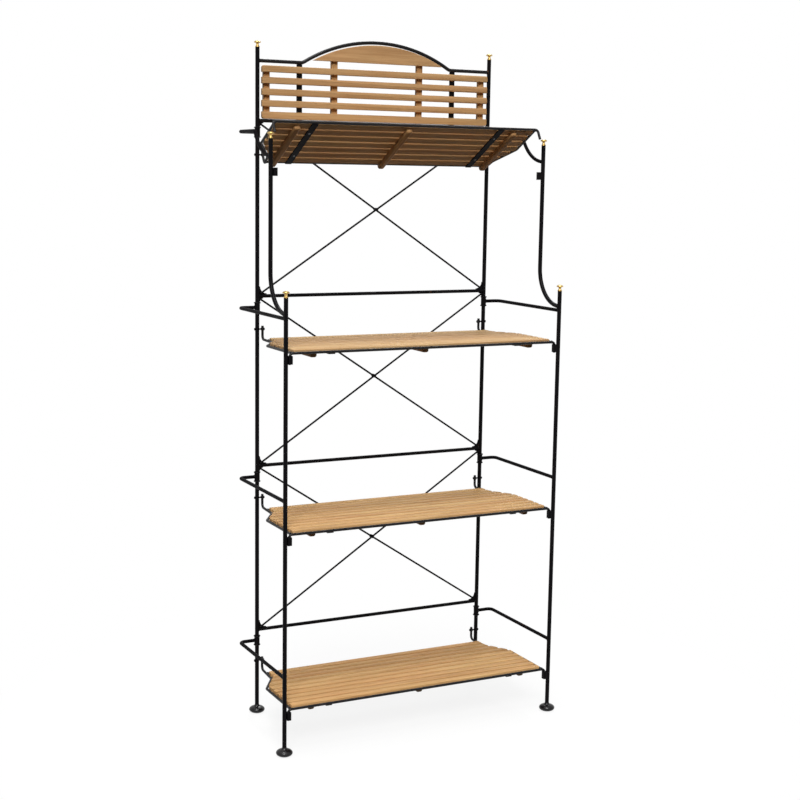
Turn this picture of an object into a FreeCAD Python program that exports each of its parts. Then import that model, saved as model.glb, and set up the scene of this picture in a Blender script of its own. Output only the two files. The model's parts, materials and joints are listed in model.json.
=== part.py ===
import FreeCAD, Part
import math
import os
import re

# Folding bakers rack: a braced rear frame with a slatted gallery, two side frames
# that swing on the rear posts, and four slatted shelves that swing up on pivot bolts.
# X runs along the shelves, the front is at -Y, and the feet stand on Z = 0.

SIZES = (
    # Posts, legs and rails
    ("post_spacing", 806, "between the axes of the rear posts"),
    ("leg_depth", 374, "from the rear post axis to the lower front leg axis"),
    ("upper_leg_depth", 254.4, "from the rear post axis to the upper front leg axis"),
    ("side_offset", 58, "side frame plane outboard of the rear post axis"),
    ("post_diameter", 13, "outside diameter of posts and legs"),
    ("post_wall", 1.5, "tube wall of posts and legs"),
    ("post_over_gallery", 39.8, "rear post top above the straight ends of the gallery top rail"),
    ("lower_leg_over_rail", 61.2, "lower front leg top above the axis of the upper side rail"),
    ("upper_leg_over_sweep", 50.8, "upper front leg top above the foot of the top side rail sweep"),
    ("rail_diameter", 11, "back, gallery and side rails"),
    ("lower_rail_height", 275, "axis of the lowest back rail"),
    ("level_pitch", 533.4, "from one shelf level to the next"),
    ("joint_gap", 0.3, "room between pieces that move past each other"),
    ("overrun", 5, "length by which cutters pass the faces they cut"),
    # Gallery
    ("gallery_rise", 178, "gallery bottom rail to the straight ends of the top rail"),
    ("arch_half_span", 255, "middle to the foot of the arch"),
    ("arch_rise", 72, "straight ends to the crown of the arch"),
    ("arch_bend_radius", 24, "bend between a straight end and the arch"),
    ("gallery_slat_height", 19.6, "gallery slat"),
    ("gallery_slat_thickness", 10, "gallery slat and arch board"),
    ("gallery_slat_pitch", 34.3, "from one gallery slat to the next"),
    ("gallery_slat_drop", 23.4, "top rail axis to the middle of the top slat"),
    ("gallery_slat_end_gap", 4.5, "slat end to the post"),
    ("gallery_slat_count", 5, "gallery slats"),
    ("gallery_slat_round", 2, "rounding of the front edges"),
    ("gallery_batten_width", 20, "upright batten behind the slats"),
    ("gallery_batten_thickness", 12, "upright batten behind the slats"),
    ("outer_batten_inset", 29.5, "post axis to the outer batten axis"),
    ("inner_batten_place", 148, "middle to the inner batten axis"),
    ("inner_batten_rise", 30, "inner batten top above the straight top rail axis"),
    ("outer_batten_drop", 15, "outer batten top below the straight top rail axis"),
    ("gallery_batten_foot", 9, "batten foot above the gallery bottom rail axis"),
    ("gallery_strap_width", 18, "upright iron strap"),
    ("gallery_strap_place", 266, "middle to the strap axis"),
    ("strap_thickness", 3, "all iron straps"),
    ("arch_board_gap", 3, "arch board to the arch rail"),
    ("arch_board_lift", 8, "board foot above the straight top rail axis"),
    # Cross braces
    ("brace_diameter", 6, "cross brace rod"),
    ("brace_inset", 3, "rod end to the post and to the rail"),
    ("gusset_leg", 24, "corner plate above a rail, along post and rail"),
    ("hanging_gusset_leg", 12.5, "corner plate below a rail, clear of the stop ring"),
    ("gusset_tip", 2.5, "width of the corner plate at its tips"),
    ("gusset_thickness", 3, "corner plate"),
    ("rivet_diameter", 4, "rivet at the crossing"),
    ("rivet_head_diameter", 11, "rivet head and distance piece"),
    ("rivet_head_height", 2.5, "rivet head"),
    # Side frame hinges on the rear posts
    ("hinge_drop", 35, "back rail axis to the middle of the collar"),
    ("collar_height", 24, "hinge collar"),
    ("collar_wall", 2, "hinge collar"),
    ("collar_fit", 0.08, "running fit of collar on post, on the radius"),
    ("ring_height", 4, "fixed stop ring above and below a collar"),
    ("ring_diameter", 22, "fixed stop ring"),
    ("side_bend_radius", 16, "bend of a side rail, on its axis"),
    ("top_rail_run", 130, "rear post axis to where the top side rail turns down"),
    ("top_rail_fall", 74, "fall of the sweep into the upper leg"),
    ("top_rail_bend_radius", 14, "bend at the head of the sweep"),
    ("sweep_seat", 1, "foot of the upper leg above the side rail"),
    # Finials and feet
    ("spigot_length", 16, "finial and foot spigots inside the tubes"),
    ("spigot_fit", 0.1, "room round a spigot, on the radius"),
    ("finial_base_diameter", 15, "flared base on the tube end"),
    ("finial_base_height", 2.5, "flared base"),
    ("finial_waist_diameter", 7, "narrowest part"),
    ("finial_waist_height", 7.5, "waist above the tube end"),
    ("finial_rim_diameter", 21, "button top"),
    ("finial_rim_height", 14.5, "underside of the button above the tube end"),
    ("finial_height", 19, "whole finial above the tube end"),
    ("finial_round", 2, "rounding of the button edge"),
    ("foot_diameter", 50, "flattened ball"),
    ("foot_ball_half_height", 12, "half height of the whole ball"),
    ("foot_ball_centre", 10, "ball centre above the floor"),
    ("foot_height", 27, "top of the foot neck"),
    ("foot_neck_diameter", 22, "neck where it leaves the ball"),
    ("foot_neck_seat", 18, "neck start above the floor"),
    # Shelf pivots
    ("pivot_drop", 102.5, "back rail axis to the shelf pivot axis"),
    ("hook_inset", 17.5, "post axis to the shelf hook axis"),
    ("bolt_diameter", 5, "pivot bolt"),
    ("bolt_head_diameter", 8, "bolt head and nut"),
    ("bolt_head_height", 3, "bolt head and nut"),
    ("bolt_fit", 0.1, "room round the bolt in the post, on the radius"),
    ("eye_diameter", 9.6, "shelf eye on the bolt"),
    ("hook_overrun", 10, "end rod above the pivot axis"),
    ("eye_width", 9, "shelf eye along the bolt"),
    ("eye_fit", 0.05, "running fit of eye on bolt, on the radius"),
    # Shelf frames and their sleeves
    ("rod_diameter", 8, "shelf frame rods"),
    ("shelf_drop", 32, "pivot axis to the plane of the shelf rods"),
    ("pin_length", 33, "front pin below the plane of the rods"),
    ("pin_bend_radius", 10, "bend of the front rail into its pins"),
    ("pin_setback", 2, "pin axis behind the sleeve axis"),
    ("sleeve_width", 13, "sleeve along the shelf"),
    ("sleeve_depth", 16, "sleeve front to back"),
    ("sleeve_height", 24, "sleeve"),
    ("sleeve_wall", 1.5, "sleeve"),
    ("finial_rest_gap", 0.6, "pin end of the raised top shelf above the finial"),
    ("end_rod_inset", 8, "pin axis to the end rod axis"),
    ("corner_inset", 11, "post axis to the rear corner of the end rod"),
    ("rod_bend_radius", 14, "bends of the end rods"),
    ("hook_bend_radius", 13, "bend of an end rod up to its eye"),
    ("shelf_bend_depth", 178, "widest point of a deep shelf, from the post axis"),
    ("shelf_corner_depth", 98, "rear corner of a deep shelf"),
    ("shelf_rear_depth", 46, "rear rail of a deep shelf"),
    ("top_bend_depth", 126, "widest point of the top shelf"),
    ("top_corner_depth", 46, "rear corner of the top shelf"),
    ("top_rear_depth", 15, "rear rail of the top shelf"),
    # Shelf timber, straps and screws
    ("slat_count", 10, "slats on a deep shelf"),
    ("top_slat_count", 7, "slats on the top shelf"),
    ("slat_thickness", 13.5, "shelf slat"),
    ("slat_gap", 8.5, "between slats"),
    ("slat_rail_gap", 2, "outer slats to the front and rear rails"),
    ("slat_end_gap", 2, "slat end to the end rod"),
    ("slat_round", 3, "rounding of the upper edges"),
    ("batten_width", 21, "batten under the slats"),
    ("batten_thickness", 12.5, "batten under the slats"),
    ("batten_round", 6, "rounding of the lower edges"),
    ("batten_place", 367, "middle to the outer batten axis"),
    ("batten_setback", 12, "front rail axis to the front end of a batten"),
    ("batten_tail", 7, "batten end behind the rear rail axis"),
    ("shelf_strap_width", 20, "iron strap under the slats"),
    ("shelf_strap_place", 315, "middle to the strap axis"),
    ("screw_diameter", 3.5, "wood screw"),
    ("screw_fit", 0.05, "room round a screw, on the radius"),
    ("screw_head_diameter", 7, "wood screw"),
    ("screw_head_height", 2, "wood screw"),
    ("screw_bite", 7, "depth of a screw in the timber"),
)

doc = FreeCAD.newDocument("bakers_rack")
sheet = doc.addObject("Spreadsheet::Sheet", "sizes")
for row, (alias, number, note) in enumerate(SIZES, start=1):
    sheet.set("A%d" % row, note)
    sheet.set("B%d" % row, str(number))
    sheet.setAlias("B%d" % row, alias)
doc.recompute()

ALIASES = {alias for alias, number, note in SIZES}
WORD = re.compile(r"[A-Za-z_]\w*")
ALONG_X = FreeCAD.Rotation(FreeCAD.Vector(0, 1, 0), 90)
ALONG_Y = FreeCAD.Rotation(FreeCAD.Vector(1, 0, 0), -90)
ALONG_Z = FreeCAD.Rotation()
UPRIGHT = FreeCAD.Vector(0, 0, 1)
SIDES = (("left", -1), ("right", 1))
LEVELS = ("lower", "middle", "upper", "top")
SAME_LEVEL_SHARE = 1e-9
SHARP_CORNERS = 2
nodes = []


def size(alias):
    return float(sheet.get(alias))


def bind(piece, **expressions):
    """Tie properties to expressions written in the sheet's aliases."""
    for prop, text in expressions.items():
        tied = WORD.sub(lambda m: "sizes." + m.group() if m.group() in ALIASES else m.group(), text)
        piece.setExpression(prop.replace("base_", ".Placement.Base."), tied)
    return piece


def bar(name, diameter, length, x, y, z, turn=ALONG_Z):
    """Round bar that starts at x, y, z and runs along +Z, +X or +Y."""
    piece = doc.addObject("Part::Cylinder", name)
    piece.Placement = FreeCAD.Placement(FreeCAD.Vector(), turn)
    return bind(piece, Radius="(%s) / 2" % diameter, Height=length, base_x=x, base_y=y, base_z=z)


def cone(name, low_diameter, high_diameter, length, x, y, z):
    piece = doc.addObject("Part::Cone", name)
    bind(piece, Radius1="(%s) / 2" % low_diameter, Radius2="(%s) / 2" % high_diameter)
    return bind(piece, Height=length, base_x=x, base_y=y, base_z=z)


def block(name, width, depth, height, x, y, z):
    """Box whose lowest corner is at x, y, z."""
    piece = doc.addObject("Part::Box", name)
    bind(piece, Length=width, Width=depth, Height=height)
    return bind(piece, base_x=x, base_y=y, base_z=z)


def centred(name, width, depth, height, x, y, z):
    """Box centred on x, with its rear lower edge at y, z and its depth towards -Y."""
    return block(name, width, depth, height, "%s - (%s) / 2" % (x, width), "%s - (%s)" % (y, depth), z)


def group(name, pieces):
    piece = doc.addObject("Part::Compound", name)
    piece.Links = pieces
    return piece


def cut(name, base, *tools):
    piece = doc.addObject("Part::Cut", name)
    piece.Base = base
    piece.Tool = tools[0] if len(tools) == 1 else group(name + "_cutters", list(tools))
    return piece


def joined(name, *pieces):
    piece = doc.addObject("Part::MultiFuse", name)
    piece.Shapes = list(pieces)
    return piece


def softened(name, box, radius, face):
    """Round the edges that bound the top, bottom or front face of a blank."""
    box.recompute()
    bounds = box.Shape.BoundBox
    level = {"top": bounds.ZMax, "bottom": bounds.ZMin, "front": bounds.YMin}[face]
    piece = doc.addObject("Part::Fillet", name)
    piece.Base = box
    chosen = []
    for index, edge in enumerate(box.Shape.Edges, start=1):
        ends = [vertex.Point.y if face == "front" else vertex.Point.z for vertex in edge.Vertexes]
        if all(math.isclose(end, level, abs_tol=bounds.DiagonalLength * SAME_LEVEL_SHARE) for end in ends):
            chosen.append((index, radius, radius))
    piece.Edges = chosen
    return piece


def node(name, piece, placement=None):
    """Name a finished sub-part for its file."""
    piece.Label = name
    if placement:
        piece.Placement = placement
    nodes.append(piece)
    return piece


def rail_level(level):
    return "(lower_rail_height + %d * level_pitch)" % level


def pivot_level(level):
    return "(%s - pivot_drop)" % rail_level(level)


def hinge_level(level):
    return "(%s - hinge_drop)" % rail_level(level)


def at_side(sign, text):
    return "%d * (%s)" % (sign, text)


def span(name, diameter, inner, outer, sign, y, z):
    """Round bar along X from inner to outer, counted outwards on one side."""
    start = at_side(sign, inner if sign > 0 else outer)
    return bar(name, diameter, "(%s) - (%s)" % (outer, inner), start, y, z, ALONG_X)


POST_X = "post_spacing / 2"
LEG_X = "(post_spacing / 2 + side_offset)"
REAR = "leg_depth / 2"
FRONT = "-leg_depth / 2"
UPPER_FRONT = "(leg_depth / 2 - upper_leg_depth)"
PIN_X = "(%s - post_diameter / 2 - sleeve_width / 2)" % LEG_X
GALLERY_FOOT = rail_level(3)
GALLERY_TOP = "(%s + gallery_rise)" % GALLERY_FOOT
POST_TOP = "(%s + post_over_gallery)" % GALLERY_TOP
LOWER_LEG_TOP = "(%s + lower_leg_over_rail)" % hinge_level(2)
UPPER_LEG_TOP = "(%s - top_rail_fall + upper_leg_over_sweep)" % hinge_level(3)
GALLERY_FACE = "(%s - strap_thickness / 2)" % REAR
ARCH_RADIUS = "((arch_half_span ^ 2 + arch_rise ^ 2) / (2 * arch_rise))"

post_x = size("post_spacing") / 2
post_radius = size("post_diameter") / 2
leg_x = post_x + size("side_offset")
rear_y = size("leg_depth") / 2
rail_radius = size("rail_diameter") / 2
pin_x = leg_x - post_radius - size("sleeve_width") / 2
level_heights = [size("lower_rail_height") + level * size("level_pitch") for level in range(len(LEVELS))]
pivot_heights = [height - size("pivot_drop") for height in level_heights]
sweep_foot_z = level_heights[-1] - size("hinge_drop") - size("top_rail_fall")
upper_leg_top = sweep_foot_z + size("upper_leg_over_sweep")


# Bent rods

def at(x, depth, z):
    """Point at a depth in front of the rear posts."""
    return FreeCAD.Vector(x, rear_y - depth, z)


def straight(start, end):
    return Part.LineSegment(start, end).toShape()


def arc(start, middle, end):
    return Part.Arc(start, middle, end).toShape()


def bent_route(points, radii):
    """Straight runs through the points, with a tangent arc of its own radius at each bend."""
    edges = []
    start = points[0]
    for before, corner, after, radius in zip(points, points[1:], points[2:], radii):
        back = (before - corner).normalize()
        ahead = (after - corner).normalize()
        half_angle = back.getAngle(ahead) / 2
        setback = radius / math.tan(half_angle)
        inward = (back + ahead).normalize()
        middle = corner + inward * (radius / math.sin(half_angle) - radius)
        edges.append(straight(start, corner + back * setback))
        edges.append(arc(corner + back * setback, middle, corner + ahead * setback))
        start = corner + ahead * setback
    edges.append(straight(start, points[-1]))
    return edges


def swept(name, edges, diameter):
    """Round bar along a route of lines and arcs."""
    first = edges[0]
    start = first.valueAt(first.FirstParameter)
    heading = first.tangentAt(first.FirstParameter)
    section = Part.Wire([Part.Circle(start, heading, diameter / 2).toShape()])
    piece = doc.addObject("Part::Feature", name)
    piece.Shape = Part.Wire(edges).makePipeShell([section], True, False)
    return piece


def bend_into_arc(line_z, turn, centre_z, arc_radius, bend_radius):
    """Small bend between a level line and a larger arc that curves the other way.

    Gives the reach from the arc's centre to the bend, and the three points of the bend as
    (reach, height): its end on the line, its middle and its end on the arc.
    """
    bend_z = line_z + turn * bend_radius
    between = arc_radius + bend_radius
    reach = math.sqrt(between ** 2 - (bend_z - centre_z) ** 2)
    to_arc = FreeCAD.Vector(-reach, 0, centre_z - bend_z) / between
    to_line = FreeCAD.Vector(0, 0, -turn)
    middle = (to_arc + to_line).normalize() * bend_radius
    arc_end = to_arc * bend_radius
    return [(reach, line_z), (reach + middle.x, bend_z + middle.z), (reach + arc_end.x, bend_z + arc_end.z)]


# Turned pieces

def finial(name, x, y, z):
    """Brass spool: spigot in the tube, flared base, waist and a button top."""
    tube_bore = "post_diameter - 2 * post_wall - 2 * spigot_fit"
    spigot = bar(name + "_spigot", tube_bore, "spigot_length", x, y, "%s - spigot_length" % z)
    base = bar(name + "_base", "finial_base_diameter", "finial_base_height", x, y, z)
    lower = cone(name + "_lower", "finial_base_diameter", "finial_waist_diameter",
                 "finial_waist_height - finial_base_height", x, y, "%s + finial_base_height" % z)
    upper = cone(name + "_upper", "finial_waist_diameter", "finial_rim_diameter",
                 "finial_rim_height - finial_waist_height", x, y, "%s + finial_waist_height" % z)
    button = bar(name + "_button", "finial_rim_diameter", "finial_height - finial_rim_height",
                 x, y, "%s + finial_rim_height" % z)
    top = softened(name + "_top", button, size("finial_round"), "top")
    return joined(name + "_turning", spigot, base, lower, upper, top)


def foot(name, x, y):
    """Flattened ball with a flat underside, a tapering neck and a spigot in the tube."""
    ball = doc.addObject("Part::Ellipsoid", name + "_ball")
    bind(ball, Radius1="foot_ball_half_height", Radius2="foot_diameter / 2", Radius3="foot_diameter / 2")
    bind(ball, base_x=x, base_y=y, base_z="foot_ball_centre")
    floor = block(name + "_floor", "foot_diameter", "foot_diameter", "foot_ball_half_height",
                  "%s - foot_diameter / 2" % x, "%s - foot_diameter / 2" % y, "-foot_ball_half_height")
    flat_ball = cut(name + "_flat_ball", ball, floor)
    neck = cone(name + "_neck", "foot_neck_diameter", "post_diameter", "foot_height - foot_neck_seat",
                x, y, "foot_neck_seat")
    tube_bore = "post_diameter - 2 * post_wall - 2 * spigot_fit"
    spigot = bar(name + "_spigot", tube_bore, "spigot_length", x, y, "foot_height")
    return node(name, joined(name + "_turning", flat_ball, neck, spigot))


# Rear frame

def rear_posts():
    """Two tubes drilled for the pivot bolts, each with a foot and a finial."""
    cores = []
    finials = []
    for side, sign in SIDES:
        x = at_side(sign, POST_X)
        tube = "%s - foot_height" % POST_TOP
        core = bar("post_core_" + side, "post_diameter", tube, x, REAR, "foot_height")
        bore = bar("post_bore_" + side, "post_diameter - 2 * post_wall", tube, x, REAR, "foot_height")
        holes = [
            bar("post_hole_%s_%s" % (side, LEVELS[level]), "bolt_diameter + 2 * bolt_fit",
                "post_diameter + 2 * overrun", "%s - post_diameter / 2 - overrun" % x, REAR,
                pivot_level(level), ALONG_X)
            for level in range(len(LEVELS))
        ]
        node("rear_post_" + side, cut("post_tube_" + side, core, bore, *holes))
        foot("rear_foot_" + side, x, REAR)
        finials.append(finial("rear_finial_" + side, x, REAR, POST_TOP))
        cores.append(core)
    node("rear_finials", group("rear_finial_pair", finials))
    return cores


def back_rails(post_cores):
    names = ("lower_back_rail", "middle_back_rail", "upper_back_rail", "gallery_bottom_rail")
    for level, name in enumerate(names):
        blank = bar(name + "_blank", "rail_diameter", "post_spacing", "-" + POST_X, REAR,
                    rail_level(level), ALONG_X)
        node(name, cut(name + "_coped", blank, *post_cores))


def arch_rail(post_cores):
    """Straight ends, a small bend at each foot of the arch and one long arc between."""
    line_z = level_heights[-1] + size("gallery_rise")
    half_span = size("arch_half_span")
    rise = size("arch_rise")
    radius = (half_span ** 2 + rise ** 2) / (2 * rise)
    bend = bend_into_arc(line_z, 1, line_z + rise - radius, radius, size("arch_bend_radius"))
    left = [at(-reach, 0, z) for reach, z in bend]
    right = [at(reach, 0, z) for reach, z in bend]
    edges = [
        straight(at(-post_x, 0, line_z), left[0]),
        arc(*left),
        arc(left[2], at(0, 0, line_z + rise), right[2]),
        arc(right[2], right[1], right[0]),
        straight(right[0], at(post_x, 0, line_z)),
    ]
    bent = swept("arch_rail_bent", edges, size("rail_diameter"))
    node("gallery_arch_rail", cut("arch_rail_coped", bent, *post_cores))


def gallery_timber():
    """Five slats and an arch board on four battens, screwed to two iron straps."""
    slat_length = "post_spacing - post_diameter - 2 * gallery_slat_end_gap"
    strap_foot = "(%s + rail_diameter / 2)" % GALLERY_FOOT
    slats = []
    screw_parts = {"shank": [], "head": [], "hole": []}
    straps = []
    for side, sign in SIDES:
        straps.append(centred("gallery_strap_blank_" + side, "gallery_strap_width", "strap_thickness",
                              "gallery_rise - rail_diameter", at_side(sign, "gallery_strap_place"),
                              "%s + strap_thickness / 2" % REAR, strap_foot))
    for row in range(int(size("gallery_slat_count"))):
        middle = "(%s - gallery_slat_drop - %d * gallery_slat_pitch)" % (GALLERY_TOP, row)
        blank = centred("gallery_slat_blank_%d" % row, slat_length, "gallery_slat_thickness",
                        "gallery_slat_height", "0", GALLERY_FACE, "%s - gallery_slat_height / 2" % middle)
        slats.append(softened("gallery_slat_%d" % row, blank, size("gallery_slat_round"), "front"))
        for side, sign in SIDES:
            tag = "gallery_%s_%d" % (side, row)
            x = at_side(sign, "gallery_strap_place")
            tip = "%s - screw_bite" % GALLERY_FACE
            screw_parts["shank"].append(bar("shank_" + tag, "screw_diameter", "screw_bite + strap_thickness",
                                            x, tip, middle, ALONG_Y))
            screw_parts["head"].append(bar("head_" + tag, "screw_head_diameter", "screw_head_height",
                                           x, "%s + strap_thickness" % GALLERY_FACE, middle, ALONG_Y))
            screw_parts["hole"].append(bar("hole_" + tag, "screw_diameter + 2 * screw_fit",
                                           "screw_bite + strap_thickness + overrun + screw_fit",
                                           x, "%s - screw_fit" % tip, middle, ALONG_Y))
    holes = group("gallery_holes", screw_parts["hole"])
    node("gallery_slats", cut("gallery_slats_drilled", group("gallery_slat_set", slats), holes))
    node("gallery_straps", cut("gallery_straps_drilled", group("gallery_strap_set", straps), holes))
    node("gallery_screws", joined("gallery_screw_set", group("gallery_shanks", screw_parts["shank"]),
                                  group("gallery_heads", screw_parts["head"])))

    battens = []
    batten_foot = "(%s + gallery_batten_foot)" % GALLERY_FOOT
    batten_rear = "%s + gallery_batten_thickness" % GALLERY_FACE
    tall = "gallery_rise - gallery_batten_foot + inner_batten_rise"
    short = "gallery_rise - gallery_batten_foot - outer_batten_drop"
    for side, sign in SIDES:
        battens.append(centred("gallery_outer_batten_" + side, "gallery_batten_width",
                               "gallery_batten_thickness", short,
                               at_side(sign, "post_spacing / 2 - outer_batten_inset"), batten_rear, batten_foot))
        battens.append(centred("gallery_inner_batten_" + side, "gallery_batten_width",
                               "gallery_batten_thickness", tall,
                               at_side(sign, "inner_batten_place"), batten_rear, batten_foot))
    node("gallery_battens", group("gallery_batten_set", battens))

    disc = bar("arch_board_disc", "2 * (%s - rail_diameter / 2 - arch_board_gap)" % ARCH_RADIUS,
               "gallery_slat_thickness", "0", "%s - gallery_slat_thickness" % GALLERY_FACE,
               "%s + arch_rise - %s" % (GALLERY_TOP, ARCH_RADIUS), ALONG_Y)
    above = centred("arch_board_limit", "2 * arch_half_span", "gallery_slat_thickness", "arch_rise",
                    "0", GALLERY_FACE, "%s + arch_board_lift" % GALLERY_TOP)
    board = doc.addObject("Part::Common", "arch_board_segment")
    board.Base = disc
    board.Tool = above
    node("gallery_arch_board", board)


def cross_braces():
    """Two rods per bay, on either face of the corner plates, riveted where they cross."""
    reach = post_x - post_radius - size("brace_inset")
    stand = (size("gusset_thickness") + size("brace_diameter")) / 2
    rivets = {"shank": [], "front": [], "rear": [], "middle": []}
    stack = "gusset_thickness / 2 + brace_diameter"
    for level, name in enumerate(LEVELS[:3]):
        low = level_heights[level] + rail_radius + size("brace_inset")
        high = level_heights[level + 1] - rail_radius - size("brace_inset")
        middle = "(%s + level_pitch / 2)" % rail_level(level)
        shank = bar("rivet_shank_" + name, "rivet_diameter", "2 * (%s)" % stack, "0",
                    "%s - (%s)" % (REAR, stack), middle, ALONG_Y)
        rivets["shank"].append(shank)
        rivets["front"].append(bar("rivet_front_" + name, "rivet_head_diameter", "rivet_head_height", "0",
                                   "%s - (%s) - rivet_head_height" % (REAR, stack), middle, ALONG_Y))
        rivets["rear"].append(bar("rivet_rear_" + name, "rivet_head_diameter", "rivet_head_height", "0",
                                  "%s + %s" % (REAR, stack), middle, ALONG_Y))
        rivets["middle"].append(bar("rivet_middle_" + name, "rivet_head_diameter", "gusset_thickness", "0",
                                    "%s - gusset_thickness / 2" % REAR, middle, ALONG_Y))
        rods = []
        for side, sign in SIDES:
            start = at(sign * reach, -sign * stand, low)
            end = at(-sign * reach, -sign * stand, high)
            rod = doc.addObject("Part::Cylinder", "brace_rod_%s_%s" % (name, side))
            rod.Height = (end - start).Length
            rod.Placement = FreeCAD.Placement(start, FreeCAD.Rotation(UPRIGHT, end - start))
            bind(rod, Radius="brace_diameter / 2")
            rods.append(rod)
        pair = group("brace_pair_" + name, rods)
        node(name + "_brace_rods", cut("brace_rods_drilled_" + name, pair, shank))
    parts = [group("rivet_%s_set" % key, pieces) for key, pieces in rivets.items()]
    node("brace_rivets", joined("brace_rivet_set", *parts))


def corner_gussets():
    """Small plates with a hollow edge, in the corners where the brace rods end."""
    blanks = []
    hollows = []
    thickness = "gusset_thickness"
    for level in range(len(LEVELS)):
        for side, sign in SIDES:
            for above, place in ((1, "above"), (-1, "below")):
                if (level == 0 and above < 0) or (level == 3 and above > 0):
                    continue
                tag = "%s_%s_%s" % (LEVELS[level], side, place)
                leg = "gusset_leg" if above > 0 else "hanging_gusset_leg"
                edge = "(%s + %d * rail_diameter / 2)" % (rail_level(level), above)
                inner = at_side(sign, "post_spacing / 2 - post_diameter / 2 - %s" % leg)
                low = edge if above > 0 else "%s - %s" % (edge, leg)
                left = inner if sign > 0 else "%s - %s" % (inner, leg)
                blanks.append(block("gusset_blank_" + tag, leg, thickness, leg, left,
                                    "%s - gusset_thickness / 2" % REAR, low))
                hollows.append(bar("gusset_hollow_" + tag, "2 * (%s - gusset_tip)" % leg,
                                   "gusset_thickness + 2 * overrun", inner,
                                   "%s - gusset_thickness / 2 - overrun" % REAR,
                                   "%s + %d * %s" % (edge, above, leg), ALONG_Y))
    hollow_set = group("gusset_hollows", hollows)
    node("corner_gussets", cut("gusset_set", group("gusset_blanks", blanks), hollow_set))


def stop_rings(post_cores):
    """Fixed rings above and below each hinge collar."""
    rings = []
    for side, sign in SIDES:
        for level, name in enumerate(LEVELS):
            half = "(collar_height / 2 + joint_gap)"
            x = at_side(sign, POST_X)
            rings.append(bar("ring_over_%s_%s" % (side, name), "ring_diameter", "ring_height", x, REAR,
                             "%s + %s" % (hinge_level(level), half)))
            rings.append(bar("ring_under_%s_%s" % (side, name), "ring_diameter", "ring_height", x, REAR,
                             "%s - %s - ring_height" % (hinge_level(level), half)))
    node("hinge_stop_rings", cut("ring_set", group("ring_blanks", rings), *post_cores))


def pivot_bolts():
    """Bolts through the rear posts that carry the shelf eyes, with a nut at the inner end."""
    parts = {"head": [], "shank": [], "nut": []}
    outside = "post_spacing / 2 + post_diameter / 2"
    nut_face = "post_spacing / 2 - hook_inset - eye_width / 2 - joint_gap"
    for level, name in enumerate(LEVELS):
        for side, sign in SIDES:
            tag = "%s_%s" % (name, side)
            z = pivot_level(level)
            parts["head"].append(span("bolt_head_" + tag, "bolt_head_diameter", outside,
                                      outside + " + bolt_head_height", sign, REAR, z))
            parts["shank"].append(span("bolt_shank_" + tag, "bolt_diameter", nut_face, outside, sign, REAR, z))
            parts["nut"].append(span("bolt_nut_" + tag, "bolt_head_diameter", nut_face + " - bolt_head_height",
                                     nut_face, sign, REAR, z))
    sets = [group("bolt_%s_set" % key, pieces) for key, pieces in parts.items()]
    node("pivot_bolts", joined("bolt_set", *sets))


# Side frames

def sleeve(name, sign, axis_y, level):
    """Square socket on the inner side of a leg. Its rim carries the bend above the shelf pin."""
    bend_inside = "(pin_bend_radius - rod_diameter / 2)"
    rim_reach = "(pin_bend_radius - sleeve_width / 2 + sleeve_wall)"
    under_bend = "sqrt(max(0; %s ^ 2 - %s ^ 2))" % (bend_inside, rim_reach)
    rim = "(%s - shelf_drop - pin_bend_radius + %s - joint_gap)" % (pivot_level(level), under_bend)
    x = at_side(sign, PIN_X)
    outer = centred(name + "_outer", "sleeve_width", "sleeve_depth", "sleeve_height", x,
                    "%s + sleeve_depth / 2" % axis_y, "%s - sleeve_height" % rim)
    inner = centred(name + "_inner", "sleeve_width - 2 * sleeve_wall", "sleeve_depth - 2 * sleeve_wall",
                    "sleeve_height + 2 * overrun", x, "%s + sleeve_depth / 2 - sleeve_wall" % axis_y,
                    "%s - sleeve_height - overrun" % rim)
    return cut(name + "_square", outer, inner)


def top_side_rail_route(sign):
    """Out from the collar, forward, then down in a sweep that meets the upper leg level."""
    z = level_heights[-1] - size("hinge_drop")
    fall = size("top_rail_fall")
    leg = size("upper_leg_depth")
    reach = leg - size("top_rail_run")
    radius = (reach ** 2 + fall ** 2) / (2 * fall)
    centre_z = z - fall + radius
    bend = bend_into_arc(z, -1, centre_z, radius, size("top_rail_bend_radius"))
    head, turn, foot_of_bend = [at(sign * leg_x, leg - back, height) for back, height in bend]
    centre = at(sign * leg_x, leg, centre_z)
    middle = centre + ((foot_of_bend - centre) / radius - UPRIGHT).normalize() * radius
    route = bent_route([at(sign * post_x, 0, z), at(sign * leg_x, 0, z), head], [size("side_bend_radius")])
    return route + [arc(head, turn, foot_of_bend), arc(foot_of_bend, middle, at(sign * leg_x, leg, z - fall))]


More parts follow.
